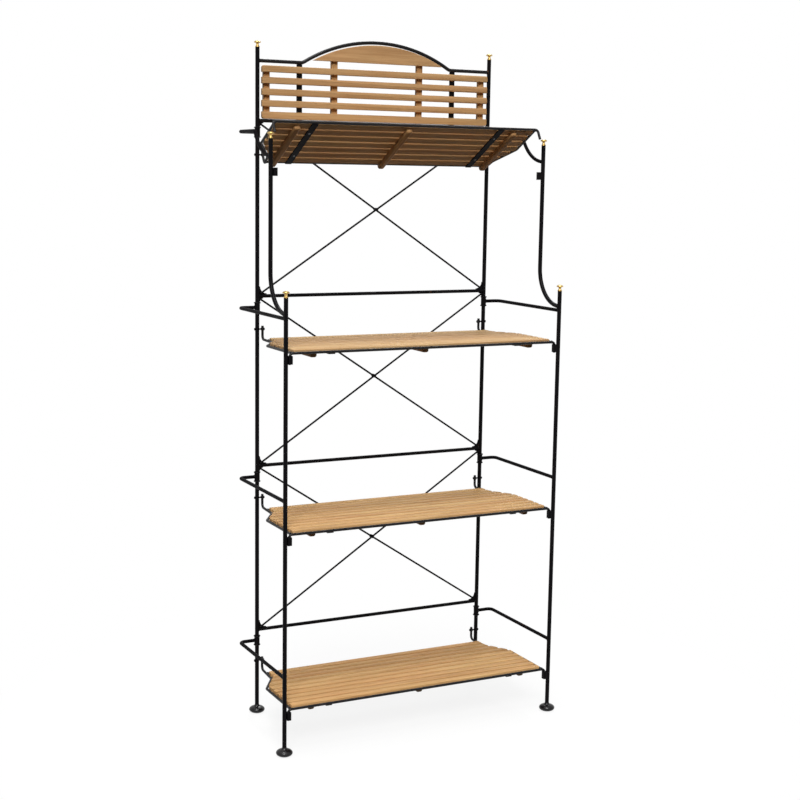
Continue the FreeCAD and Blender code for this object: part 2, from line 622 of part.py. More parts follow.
def side_frame(side, sign):
    x = at_side(sign, LEG_X)
    tube = "%s - foot_height" % LOWER_LEG_TOP
    lower_core = bar("leg_core_" + side, "post_diameter", tube, x, FRONT, "foot_height")
    lower_bore = bar("leg_bore_" + side, "post_diameter - 2 * post_wall", tube, x, FRONT, "foot_height")
    node(side + "_lower_leg", cut("leg_tube_" + side, lower_core, lower_bore))
    foot(side + "_front_foot", x, FRONT)

    sweep_z = level_heights[2] - size("hinge_drop") + rail_radius + post_radius + size("sweep_seat")
    upper_points = [
        at(sign * leg_x, size("upper_leg_depth"), upper_leg_top),
        at(sign * leg_x, size("upper_leg_depth"), sweep_z),
        at(sign * leg_x, size("leg_depth"), sweep_z),
    ]
    sweep_radius = size("leg_depth") - size("upper_leg_depth") - post_radius
    upper_route = bent_route(upper_points, [sweep_radius])
    upper_core = swept("upper_leg_core_" + side, upper_route, size("post_diameter"))
    upper_bore = swept("upper_leg_bore_" + side, upper_route, size("post_diameter") - 2 * size("post_wall"))
    node(side + "_upper_leg", cut("upper_leg_tube_" + side, upper_core, upper_bore, lower_core))

    finials = [
        finial(side + "_lower_finial", x, FRONT, LOWER_LEG_TOP),
        finial(side + "_upper_finial", x, UPPER_FRONT, UPPER_LEG_TOP),
    ]
    node(side + "_finials", group(side + "_finial_pair", finials))

    collars = [
        bar("collar_blank_%s_%s" % (side, name), "post_diameter + 2 * collar_wall", "collar_height",
            at_side(sign, POST_X), REAR, "%s - collar_height / 2" % hinge_level(level))
        for level, name in enumerate(LEVELS)
    ]
    collar_set = group("collar_blanks_" + side, collars)
    running_bore = bar("collar_bore_" + side, "post_diameter + 2 * collar_fit", POST_TOP,
                       at_side(sign, POST_X), REAR, "0")
    node(side + "_hinge_collars", cut("collars_" + side, collar_set, running_bore))

    rails = []
    for height, name in zip(level_heights[:3], LEVELS):
        z = height - size("hinge_drop")
        points = [at(sign * post_x, 0, z), at(sign * leg_x, 0, z), at(sign * leg_x, size("leg_depth"), z)]
        route = bent_route(points, [size("side_bend_radius")])
        rails.append(swept("side_rail_%s_%s" % (side, name), route, size("rail_diameter")))
    rail_set = group("side_rail_blanks_" + side, rails)
    node(side + "_side_rails", cut("side_rails_coped_" + side, rail_set, collar_set, lower_core))

    top_rail = swept("top_side_rail_bent_" + side, top_side_rail_route(sign), size("rail_diameter"))
    node(side + "_top_side_rail", cut("top_side_rail_coped_" + side, top_rail, collars[-1], upper_core))

    sleeves = [
        sleeve("sleeve_%s_%s" % (side, name), sign, FRONT if level < 3 else UPPER_FRONT, level)
        for level, name in enumerate(LEVELS)
    ]
    node(side + "_shelf_sleeves", group("sleeve_set_" + side, sleeves))


# Shelves

def raised_top_shelf():
    """Turn about the top pivots that sets the front pins on the upper leg finials."""
    pin_depth = size("upper_leg_depth") - size("pin_setback")
    pin_drop = size("shelf_drop") + size("pin_length")
    lift = upper_leg_top + size("finial_height") + size("finial_rest_gap") - pivot_heights[-1]
    turn = math.asin(lift / math.hypot(pin_depth, pin_drop)) + math.atan2(pin_drop, pin_depth)
    rotation = FreeCAD.Rotation(FreeCAD.Vector(1, 0, 0), -math.degrees(turn))
    print("top shelf raised by %.2f degrees" % math.degrees(turn))
    return FreeCAD.Placement(FreeCAD.Vector(), rotation, at(0, 0, pivot_heights[-1]))


def end_rod_places(front, bend, corner):
    """Axis of an end rod from its front end to its hook, as (reach from the middle, depth)."""
    end_x = pin_x - size("end_rod_inset")
    return [
        (end_x, size(front) - size("pin_setback")),
        (end_x, size(bend)),
        (post_x - size("corner_inset"), size(corner)),
        (post_x - size("hook_inset"), 0),
    ]


def slat_space(name, level, front, bend, corner):
    """Prism inside the end rods, to which the slats are cut."""
    inset = size("rod_diameter") / 2 + size("slat_end_gap")
    places = end_rod_places(front, bend, corner)
    front_x, front_depth = places[0]
    rear_x, rear_depth = places[-1]
    side = [(front_x, front_depth + inset)] + places[1:-1] + [(rear_x, rear_depth - inset)]
    low = pivot_heights[level] - size("shelf_drop") - size("rod_diameter") / 2 - size("overrun")
    right = [at(reach, depth, low) for reach, depth in side]
    left = [at(-reach, depth, low) for reach, depth in reversed(side)]
    outline = Part.Face(Part.makePolygon(right + left + right[:1]))
    inner = outline.makeOffset2D(-inset, SHARP_CORNERS)
    piece = doc.addObject("Part::Feature", name + "_slat_space")
    piece.Shape = inner.extrude(UPRIGHT * (size("slat_thickness") + 2 * size("overrun")))
    return piece


def shelf_frame(name, level, front, bend, corner, rear):
    """Front rail with its two pins, two end rods with eyes on the pivot bolts, and a rear rail."""
    rod = size("rod_diameter")
    pivot_z = pivot_heights[level]
    plane_z = pivot_z - size("shelf_drop")
    pin_z = plane_z - size("pin_length")
    front_depth = size(front) - size("pin_setback")
    pin_points = [at(-pin_x, front_depth, pin_z), at(-pin_x, front_depth, plane_z),
                  at(pin_x, front_depth, plane_z), at(pin_x, front_depth, pin_z)]
    front_rail = swept(name + "_front_rail", bent_route(pin_points, [size("pin_bend_radius")] * 2), rod)

    radii = [size("rod_bend_radius"), size("rod_bend_radius"), size("hook_bend_radius")]
    bent_rods = []
    end_rods = []
    for side, sign in SIDES:
        points = [at(sign * reach, depth, plane_z) for reach, depth in end_rod_places(front, bend, corner)]
        points.append(points[-1] + UPRIGHT * (size("shelf_drop") + size("hook_overrun")))
        bent = swept("%s_end_rod_bent_%s" % (name, side), bent_route(points, radii), rod)
        inner = "post_spacing / 2 - hook_inset - eye_width / 2"
        eye = span("%s_eye_%s" % (name, side), "eye_diameter", inner, inner + " + eye_width", sign,
                   REAR, pivot_level(level))
        bore = span("%s_eye_bore_%s" % (name, side), "bolt_diameter + 2 * eye_fit", inner + " - overrun",
                    inner + " + eye_width + overrun", sign, REAR, pivot_level(level))
        with_eye = joined("%s_end_rod_eye_%s" % (name, side), bent, eye)
        end_rods.append(cut("%s_end_rod_%s" % (name, side), with_eye, bore, front_rail))
        bent_rods.append(bent)
    rear_reach = "(%s - hook_inset + (hook_inset - corner_inset) * %s / %s)" % (POST_X, rear, corner)
    rear_blank = bar(name + "_rear_blank", "rod_diameter", "2 * %s" % rear_reach, "-" + rear_reach,
                     "%s - %s" % (REAR, rear), "%s - shelf_drop" % pivot_level(level), ALONG_X)
    rear_rail = cut(name + "_rear_rail", rear_blank, *bent_rods)
    return group(name + "_frame_set", [front_rail, rear_rail] + end_rods)


def shelf(level, name, front, bend, corner, rear, count, placement=None):
    """One shelf: rod frame, iron straps, teak slats on battens, and screws near the ends of the straps."""
    node(name + "_frame", shelf_frame(name, level, front, bend, corner, rear), placement)

    front_depth = "(%s - pin_setback)" % front
    timber_z = "(%s - shelf_drop - rod_diameter / 2)" % pivot_level(level)
    pitch = "((%s - %s - rod_diameter - 2 * slat_rail_gap + slat_gap) / %s)" % (front_depth, rear, count)
    length = "2 * (%s - end_rod_inset)" % PIN_X
    screwed_rows = (1, int(size(count)) - 2)
    slats = []
    shanks = []
    heads = []
    holes = []
    for row in range(int(size(count))):
        rear_edge = "(%s + rod_diameter / 2 + slat_rail_gap + %d * %s)" % (rear, row, pitch)
        blank = centred("%s_slat_blank_%d" % (name, row), length, "%s - slat_gap" % pitch,
                        "slat_thickness", "0", "%s - %s" % (REAR, rear_edge), timber_z)
        slats.append(softened("%s_slat_%d" % (name, row), blank, size("slat_round"), "top"))
        y = "%s - %s - (%s - slat_gap) / 2" % (REAR, rear_edge, pitch)
        for side, sign in SIDES if row in screwed_rows else ():
            tag = "%s_%s_%d" % (name, side, row)
            x = at_side(sign, "shelf_strap_place")
            shanks.append(bar("shank_" + tag, "screw_diameter", "strap_thickness + screw_bite", x, y,
                              "%s - strap_thickness" % timber_z))
            heads.append(bar("head_" + tag, "screw_head_diameter", "screw_head_height", x, y,
                             "%s - strap_thickness - screw_head_height" % timber_z))
            holes.append(bar("hole_" + tag, "screw_diameter + 2 * screw_fit",
                             "strap_thickness + screw_bite + screw_fit + overrun", x, y,
                             "%s - strap_thickness - overrun" % timber_z))
    hole_set = group(name + "_holes", holes)
    sawn = doc.addObject("Part::Common", name + "_slats_sawn")
    sawn.Base = group(name + "_slat_set", slats)
    sawn.Tool = slat_space(name, level, front, bend, corner)
    node(name + "_slats", cut(name + "_slats_drilled", sawn, hole_set), placement)

    straps = [
        centred("%s_strap_blank_%s" % (name, side), "shelf_strap_width", "%s - %s" % (front_depth, rear),
                "strap_thickness", at_side(sign, "shelf_strap_place"), "%s - %s" % (REAR, rear),
                "%s - strap_thickness" % timber_z)
        for side, sign in SIDES
    ]
    strap_set = group(name + "_strap_set", straps)
    node(name + "_straps", cut(name + "_straps_drilled", strap_set, hole_set), placement)

    battens = []
    for place, sign in (("left", -1), ("middle", 0), ("right", 1)):
        blank = centred("%s_batten_blank_%s" % (name, place), "batten_width",
                        "%s - batten_setback - %s + batten_tail" % (front_depth, rear), "batten_thickness",
                        at_side(sign, "batten_place"), "%s - %s + batten_tail" % (REAR, rear),
                        "%s - batten_thickness" % timber_z)
        battens.append(softened("%s_batten_%s" % (name, place), blank, size("batten_round"), "bottom"))
    node(name + "_battens", group(name + "_batten_set", battens), placement)

    screws = joined(name + "_screw_set", group(name + "_shanks", shanks), group(name + "_heads", heads))
    node(name + "_screws", screws, placement)


def build():
    post_cores = rear_posts()
    back_rails(post_cores)
    arch_rail(post_cores)
    gallery_timber()
    cross_braces()
    corner_gussets()
    stop_rings(post_cores)
    pivot_bolts()
    for side, sign in SIDES:
        side_frame(side, sign)
    for level, name in enumerate(LEVELS[:3]):
        shelf(level, name + "_shelf", "leg_depth", "shelf_bend_depth", "shelf_corner_depth",
              "shelf_rear_depth", "slat_count")
    shelf(3, "top_shelf", "upper_leg_depth", "top_bend_depth", "top_corner_depth",
          "top_rear_depth", "top_slat_count", raised_top_shelf())
    doc.recompute()


def check():
    for piece in doc.Objects:
        if "Invalid" in piece.State or "Error" in piece.State:
            raise RuntimeError("%s did not build" % piece.Name)
    for piece in nodes:
        if piece.Shape.isNull() or not piece.Shape.isValid() or not piece.Shape.Solids:
            raise RuntimeError("%s has no sound shape" % piece.Label)


def write():
    os.makedirs("parts", exist_ok=True)
    for piece in nodes:
        piece.Shape.exportStep("parts/%s.step" % piece.Label)
        print("%s: %d solids" % (piece.Label, len(piece.Shape.Solids)))
    print("%d nodes" % len(nodes))


build()
check()
write()
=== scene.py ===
import json
import math
import random

import bpy
from mathutils import Matrix, Vector


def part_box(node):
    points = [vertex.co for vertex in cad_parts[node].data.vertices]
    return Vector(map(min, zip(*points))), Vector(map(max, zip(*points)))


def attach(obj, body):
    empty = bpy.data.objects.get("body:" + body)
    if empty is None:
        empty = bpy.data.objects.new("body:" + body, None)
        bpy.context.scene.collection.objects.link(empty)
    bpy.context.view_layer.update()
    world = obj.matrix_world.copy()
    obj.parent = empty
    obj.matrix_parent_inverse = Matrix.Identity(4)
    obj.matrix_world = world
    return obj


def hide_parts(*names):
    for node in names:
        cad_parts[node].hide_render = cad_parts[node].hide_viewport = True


# Folding bakers rack. Its iron tubes, rods, straps, collars and gussets are the frame's own
# pieces. The timber, the turnings, the fasteners, the pin sockets and the welds are modelled
# here. Lengths are in metres, angles in degrees, +Z is up and the front faces -Y.

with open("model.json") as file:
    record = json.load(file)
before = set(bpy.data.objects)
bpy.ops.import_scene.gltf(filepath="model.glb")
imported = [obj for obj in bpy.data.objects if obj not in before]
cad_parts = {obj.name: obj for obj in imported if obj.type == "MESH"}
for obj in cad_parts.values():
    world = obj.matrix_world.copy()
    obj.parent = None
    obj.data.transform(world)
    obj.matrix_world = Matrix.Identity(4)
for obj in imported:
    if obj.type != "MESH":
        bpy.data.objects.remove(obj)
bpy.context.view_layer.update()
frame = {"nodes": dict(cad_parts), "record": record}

CHANCE_SEED = 11
chance = random.Random(CHANCE_SEED)

# Places read from the frame


def middle_of(node):
    low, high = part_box(node)
    return (low + high) / 2


LEVELS = ("lower", "middle", "upper", "top")
TOP = LEVELS.index("top")
SIDES = (("left", -1), ("right", 1))
SIGNS = [sign for side, sign in SIDES]
BACK_RAILS = ("lower_back_rail", "middle_back_rail", "upper_back_rail", "gallery_bottom_rail")

POST = middle_of("rear_post_right")
POST_X = POST.x
REAR_Y = POST.y
POST_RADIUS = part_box("rear_post_right")[1].x - POST_X
LEG = middle_of("right_lower_leg")
LEG_X = LEG.x
FRONT_Y = LEG.y
LEG_DEPTH = REAR_Y - FRONT_Y
RAIL_LEVELS = [middle_of(rail).z for rail in BACK_RAILS]
GALLERY_BOTTOM = RAIL_LEVELS[TOP]
RAIL_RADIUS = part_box("gallery_bottom_rail")[1].z - GALLERY_BOTTOM
HINGES = {joint["child"]: joint for joint in frame["record"]["behaviour"]["joints"]}
PIVOTS = [Vector(HINGES[level + "_shelf"]["pos_m"]) for level in LEVELS]
POST_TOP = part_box("rear_post_right")[1].z
LOWER_LEG_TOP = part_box("right_lower_leg")[1].z
UPPER_LEG_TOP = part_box("right_upper_leg")[1].z

# Sizes of the iron that the new pieces follow

UPPER_LEG_DEPTH = 0.2544
UPPER_FRONT_Y = REAR_Y - UPPER_LEG_DEPTH
LEG_LINES = (FRONT_Y, FRONT_Y, FRONT_Y, UPPER_FRONT_Y)
HINGE_DROP = 0.035
TOP_RAIL_FALL = 0.074
RAIL_FALLS = (0, 0, 0, TOP_RAIL_FALL)
COLLAR_RADIUS = 0.0085
COLLAR_HEIGHT = 0.024
ROD_RADIUS = 0.004
SHELF_DROP = 0.032
PIN_SETBACK = 0.002
PIN_LENGTH = 0.033
FINIAL_REST_GAP = 0.0006
END_ROD_INSET = 0.008
CORNER_INSET = 0.011
HOOK_INSET = 0.0175
PIN_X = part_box("lower_shelf_frame")[1].x - ROD_RADIUS
END_ROD_X = PIN_X - END_ROD_INSET
CORNER_X = POST_X - CORNER_INSET
HOOK_X = POST_X - HOOK_INSET
TIMBER_DROP = SHELF_DROP + ROD_RADIUS
STRAP_THICKNESS = 0.003
STRAP_PLACE = 0.315

# Depths, in front of the pivots, of a shelf's front rail, rear rail, widest bend and rear corner

DEEP_OUTLINE = {"front": LEG_DEPTH - PIN_SETBACK, "rear": 0.046, "bend": 0.178, "corner": 0.098}
TOP_OUTLINE = {"front": UPPER_LEG_DEPTH - PIN_SETBACK, "rear": 0.015, "bend": 0.126, "corner": 0.046}
OUTLINES = (DEEP_OUTLINE, DEEP_OUTLINE, DEEP_OUTLINE, TOP_OUTLINE)

# Sizes of the shelf timber

SLAT_COUNTS = (10, 10, 10, 7)
SLAT_THICKNESS = 0.0135
SLAT_GAP = 0.0085
SLAT_RAIL_GAP = 0.002
SLAT_END_GAP = 0.001
SLAT_ROUND = 0.0028
SLAT_CORNER = 0.0036
SLAT_LENGTH_STRAY = 0.0006
BATTEN_WIDTH = 0.021
BATTEN_THICKNESS = 0.0125
BATTEN_ROUND = 0.006
BATTEN_CORNER = 0.0065
BATTEN_PLACES = (-0.367, 0, 0.367)
BATTEN_SETBACK = 0.012
BATTEN_TAIL = 0.007
EASED_EDGE = 0.0008
TINY = 0.00001

# Sizes of the gallery timber

GALLERY_FACE_Y = REAR_Y - STRAP_THICKNESS / 2
GALLERY_RISE = 0.178
GALLERY_TOP = GALLERY_BOTTOM + GALLERY_RISE
GALLERY_SLAT_COUNT = 5
GALLERY_SLAT_HEIGHT = 0.0196
GALLERY_SLAT_PITCH = 0.0343
GALLERY_SLAT_DROP = 0.0234
GALLERY_SLAT_END_GAP = 0.0045
GALLERY_SLAT_ROUND = 0.0013
GALLERY_SLAT_THICKNESS = 0.010
GALLERY_OUTER_CORNER = 0.0065
BOTTOM_SLAT_LIP = 0.0018
GALLERY_STRAP_PLACE = 0.266
GALLERY_BATTEN_WIDTH = 0.020
GALLERY_BATTEN_THICKNESS = 0.012
GALLERY_BATTEN_FOOT = 0.009
OUTER_BATTEN_INSET = 0.0295
OUTER_BATTEN_DROP = 0.015
INNER_BATTEN_PLACE = 0.148
INNER_BATTEN_RISE = 0.030
ARCH_HALF_SPAN = 0.255
ARCH_RISE = 0.072
ARCH_RADIUS = (ARCH_HALF_SPAN ** 2 + ARCH_RISE ** 2) / (2 * ARCH_RISE)
ARCH_BOARD_GAP = 0.003
ARCH_BOARD_LIFT = 0.008
ARCH_BOARD_SIDES = 360

# Tones of the boards, from pale at 0 to dark at 1, with painted shade in them: paler for the lower and middle
# shelves that the shelves above shade, darker for the upper shelf, the gallery and the arch board that the
# lamps light more; and how much of a darker, greyer painted shade tint each takes

SHELF_TONES_AND_PAINTED_SHADE = ((0, 0.45), (0, 0.5), (0.4, 1), (0.2, 0.9))
SHELF_PAINTED_SHADES = (0, 0.2, 1, 0)
BATTEN_TONES = (0.4, 1)
GALLERY_TONES_AND_PAINTED_SHADE = (0.4, 1)
GALLERY_PAINTED_SHADE = 0.6
ARCH_BOARD_PAINTED_SHADE_TONE = 1

# Profiles of the turnings, in steps of radius and height or as stretches of an ellipse

FINIAL_SIDES = 36
FINIAL_SPIGOT = ((0.0050, -0.0040), (0.0050, 0), (0.0066, 0))
FINIAL_BEAD = {"centre": (0.0062, 0.0012), "radii": (0.0010, 0.0011), "first": -70, "last": 75, "count": 5}
FINIAL_NECK = ((0.0056, 0.0028), (0.0048, 0.0042), (0.0042, 0.0062), (0.0040, 0.0082),
               (0.0044, 0.0100), (0.0056, 0.0113), (0.0078, 0.0122))
FINIAL_RIM = {"centre": (0.0082, 0.0144), "radii": (0.0023, 0.0022), "first": -70, "last": 45, "count": 7}
FINIAL_DOME = {"centre": (0, 0.0140), "radii": (0.0101, 0.0052), "first": 26, "last": 84, "count": 7}
FOOT_SIDES = 56
FOOT_SOLE_RADIUS = 0.0132
FOOT_BALL = {"centre": (0, 0.0100), "radii": (0.0250, 0.0120), "first": -54, "last": 60, "count": 20}
FOOT_NECK = ((0.0110, 0.0209), (0.0097, 0.0216), (0.0086, 0.0226), (0.0077, 0.0239),
             (0.0071, 0.0254), (0.0067, 0.0270))
FOOT_SPIGOT = ((0.0048, 0.0270), (0.0048, 0.0330))
RING_SIDES = 28
RING_HEIGHT = 0.004
RING_OUTSIDE = ((0.0092, 0), (0.0104, 0.0008), (0.0110, 0.0020), (0.0104, 0.0032), (0.0092, RING_HEIGHT))

# Sizes of the fasteners, sockets and welds, with shares of a radius and of a height

SCREW_SIDES = 12
SCREW_RADIUS = 0.00175
SCREW_BITE = 0.007
SCREW_POINT_SHARE = 0.2
SCREW_TAPER_SHARES = (0.9, 0.7)
SCREW_HEAD_RADIUS = 0.0035
SCREW_HEAD_HEIGHT = 0.002
SCREW_HEAD_SHARES = ((0.94, 0), (1, 0.15), (0.93, 0.5), (0.68, 0.85), (0.34, 1))
SCREW_SLOT = 0.0009
SCREW_SLOT_DEPTH = 0.0008
SCREW_SLOT_REACH_SHARE = 0.4
SCREW_TURN = 180
BOLT_RADIUS = 0.0025
BOLT_POINT_SHARE = 0.3
BOLT_HEAD_RADIUS = 0.0040
BOLT_HEAD_HEIGHT = 0.0030
BOLT_TURN = 60
HEXAGON_SHARES = ((0.9, 0), (1, 0.12), (1, 0.86), (0.86, 1))
NUT_HEIGHT = 0.0018
WASHER_THICKNESS = 0.00075
WASHER_SHARES = ((1.08, 0), (1.12, 0.3), (1.06, 1))
EYE_WIDTH = 0.009
JOINT_GAP = 0.0003
ROUND_SIDES = 24
RIVET_RADIUS = 0.002
RIVET_HEAD_RADIUS = 0.0055
RIVET_HEAD_HEIGHT = 0.0025
RIVET_SEAT_SHARE = 0.96
RIVET_DOME = {"first": 4, "last": 80, "count": 6}
SPACER_EDGE_SHARE = 0.95
BRACE_DIAMETER = 0.006
GUSSET_THICKNESS = 0.003
SOCKET_SIZE = (0.013, 0.016, 0.024)
SOCKET_WALL = 0.0015
SOCKET_ROUND = 0.0024
SOCKET_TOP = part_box("right_shelf_sleeves")[1].z - PIVOTS[TOP].z
BEAD_RADIUS = 0.0012
BEAD_STRAY = 0.0004
BEAD_STEPS = 20
BEAD_SIDES = 6
BEAD_SEEDS = (1, 999)


# Modelling by hand


ROUND_STEPS = 3
CORNER_STEPS = 5
MERGE_SHARE = 0.05
SMOOTH_ANGLE = math.radians(38)


def only(piece):
    """Make a piece the one selected object."""
    bpy.ops.object.select_all(action="DESELECT")
    piece.select_set(True)
    bpy.context.view_layer.objects.active = piece


def placed(piece, place):
    """Move a piece and keep its place in its mesh."""
    only(piece)
    piece.matrix_world = place
    bpy.ops.object.transform_apply()
    return piece


def copy_of(piece):
    only(piece)
    bpy.ops.object.duplicate()
    return bpy.context.object


def copies(pattern, places):
    return [placed(copy_of(pattern), place) for place in places]


def gathered(name, pieces):
    """Join loose pieces under one name."""
    only(pieces[0])
    for piece in pieces:
        piece.select_set(True)
    if len(pieces) > 1:
        bpy.ops.object.join()
    pieces[0].name = name
    pieces[0].data.name = name
    return pieces[0]


def choose(piece, kind, wanted):
    """Select, in edit mode, the edges or faces whose corners pass a test on their place."""
    only(piece)
    bpy.ops.object.mode_set(mode="EDIT")
    bpy.ops.mesh.select_mode(type=kind)
    bpy.ops.mesh.select_all(action="DESELECT")
    bpy.ops.object.mode_set(mode="OBJECT")
    mesh = piece.data
    for member in mesh.edges if kind == "EDGE" else mesh.polygons:
        member.select = wanted([mesh.vertices[corner].co for corner in member.vertices])
    bpy.ops.object.mode_set(mode="EDIT")


def height_of(corners):
    """Height from the lowest to the highest of some corners."""
    levels = [corner.z for corner in corners]
    return max(levels) - min(levels)


def rounded(piece, radius, steps, wanted):
    """Round the edges whose two ends pass a test on their place."""
    choose(piece, "EDGE", wanted)
    bpy.ops.mesh.bevel(offset=radius, segments=steps, affect="EDGES")
    bpy.ops.object.mode_set(mode="OBJECT")


def block(name, size):
    """Block that stands on Z = 0, centred on the origin."""
    bpy.ops.object.select_all(action="DESELECT")
    bpy.ops.mesh.primitive_cube_add(size=1, location=(0, 0, size[2] / 2))
    piece = bpy.context.object
    piece.name = name
    piece.scale = size
    bpy.ops.object.transform_apply()
    return piece


def turned(name, profile, sides, hollow=False):
    """Turning about Z, drawn up from a disc through (radius, height) steps.

    A hollow one starts from an open circle, and its profile comes back to where it starts.
    """
    radius, height = profile[0]
    bpy.ops.object.select_all(action="DESELECT")
    bpy.ops.mesh.primitive_circle_add(vertices=sides, radius=radius, location=(0, 0, height),
                                      fill_type="NOTHING" if hollow else "NGON")
    piece = bpy.context.object
    piece.name = name
    bpy.ops.object.transform_apply()
    bpy.ops.object.mode_set(mode="EDIT")
    bpy.ops.mesh.select_all(action="SELECT")
    for next_radius, next_height in profile[1:]:
        bpy.ops.mesh.extrude_region_move(TRANSFORM_OT_translate={"value": (0, 0, next_height - height)})
        share = next_radius / radius
        bpy.ops.transform.resize(value=(share, share, 1), center_override=(0, 0, 0))
        radius, height = next_radius, next_height
    bpy.ops.mesh.select_all(action="SELECT")
    bpy.ops.mesh.remove_doubles(threshold=radius / sides * MERGE_SHARE)
    bpy.ops.mesh.normals_make_consistent(inside=False)
    bpy.ops.object.mode_set(mode="OBJECT")
    return piece


def round_steps(centre, radii, first, last, count):
    """Profile steps along an ellipse, from one angle to another, counted up from level."""
    steps = []
    for step in range(count + 1):
        angle = math.radians(first + (last - first) * step / count)
        steps.append((centre[0] + radii[0] * math.cos(angle), centre[1] + radii[1] * math.sin(angle)))
    return steps


def shared_steps(shares, radius, foot, height):
    """Profile steps given as shares of a radius and of a height above a foot."""
    return [(radius * across, foot + height * up) for across, up in shares]


def turn(degrees, axis):
    return Matrix.Rotation(math.radians(degrees), 4, axis)


def shift(x, y, z):
    return Matrix.Translation((x, y, z))


# Shader nodes, with the places of the colour sockets on a mix node


MIX_FACTOR, MIX_A, MIX_B, MIX_RESULT = 0, 6, 7, 2
NOISE_ROUGHNESS = 0.55
WHITE = (1, 1, 1, 1)


def add_node(tree, kind, inputs=None, **settings):
    """Node whose inputs are given as values or as sockets to link."""
    node = tree.nodes.new(kind)
    for key, value in settings.items():
        setattr(node, key, value)
    for key, value in (inputs or {}).items():
        if isinstance(value, bpy.types.NodeSocket):
            tree.links.new(value, node.inputs[key])
        else:
            node.inputs[key].default_value = value
    return node


def noise(tree, vector, scale, detail=3):
    inputs = {"Vector": vector, "Scale": scale, "Detail": detail, "Roughness": NOISE_ROUGHNESS}
    return add_node(tree, "ShaderNodeTexNoise", inputs).outputs["Fac"]


def stretched(tree, vector, scale):
    return add_node(tree, "ShaderNodeMapping", {"Vector": vector, "Scale": scale}).outputs["Vector"]


def grained(tree, grain, stretch, detail):
    """Noise drawn out along the grain."""
    return noise(tree, stretched(tree, grain, stretch), 1, detail)


def between(tree, value, low, high, to_low=0, to_high=1):
    """Map a span of values to another, and hold it at the ends."""
    inputs = {"Value": value, "From Min": low, "From Max": high, "To Min": to_low, "To Max": to_high}
    return add_node(tree, "ShaderNodeMapRange", inputs).outputs["Result"]


def worked(tree, operation, first, second):
    return add_node(tree, "ShaderNodeMath", {0: first, 1: second}, operation=operation).outputs["Value"]


def times(tree, first, second):
    return worked(tree, "MULTIPLY", first, second)


def mixed(tree, factor, first, second, blend="MIX"):
    node = add_node(tree, "ShaderNodeMix", {MIX_FACTOR: factor, MIX_A: first, MIX_B: second},
                    data_type="RGBA", blend_type=blend)
    return node.outputs[MIX_RESULT]


def bumped(tree, height, strength, distance, under=None):
    inputs = {"Height": height, "Strength": strength, "Distance": distance}
    if under:
        inputs["Normal"] = under
    return add_node(tree, "ShaderNodeBump", inputs).outputs["Normal"]


def board_mark(tree, name, output="Fac"):
    """Value that each board keeps with its mesh."""
    return add_node(tree, "ShaderNodeAttribute", attribute_name=name).outputs[output]


def object_place(tree):
    return add_node(tree, "ShaderNodeTexCoord").outputs["Object"]


def new_finish(name, **constants):
    """Material with its shader's steady values set, its tree and its shader."""
    finish = bpy.data.materials.new(name)
    finish.use_nodes = True
    shader = finish.node_tree.nodes["Principled BSDF"]
    for key, value in constants.items():
        shader.inputs[key.replace("_", " ")].default_value = value
    return finish, finish.node_tree, shader


def drive(tree, shader, **sockets):
    for key, socket in sockets.items():
        tree.links.new(socket, shader.inputs[key.replace("_", " ")])


# Teak: colours, grain as stretch and detail, spans of noise and what they map to, and relief


TEAK_GLOSS = 0.07
PALE_TEAK = ((0.66, 0.425, 0.19, 1), (0.53, 0.305, 0.122, 1))
DARK_TEAK = ((0.54, 0.31, 0.135, 1), (0.38, 0.195, 0.08, 1))
RED_BLOTCH = (0.58, 0.28, 0.118, 1)
STREAK_BROWN = (0.30, 0.14, 0.048, 1)
PORE_BROWN = (0.17, 0.08, 0.028, 1)
CUT_END_BROWN = (0.42, 0.25, 0.12, 1)
CUT_END_DEPTH = 0.5
CUT_END_SHARE = 0.3
# Darker, greyer tint of painted shade for the boards that the lamps light most
PAINTED_SHADE_TINT = (0.84, 0.94, 1.06, 1)
FIGURE_GRAIN = ((3.2, 70, 70), 4)
STREAK_GRAIN = ((9, 420, 420), 3)
PORE_GRAIN = ((70, 1900, 1900), 2)
CLOUD_GRAIN = ((4, 9, 9), 2)
FIGURE_SPAN = (0.3, 0.7)
BLOTCH_SPAN = (0.4, 0.75, 0, 0.4)
STREAK_SPAN = (0.5, 0.72, 0, 0.5)
PORE_SPAN = (0.62, 0.76, 0, 0.45)
PORE_DEPTH_SPAN = (0.6, 0.76, 1, 0)
TEAK_ROUGH_SPAN = (0.3, 0.8, 0.44, 0.62)
STREAK_RELIEF = (0.35, 0.0004)
PORE_RELIEF = (0.5, 0.0003)


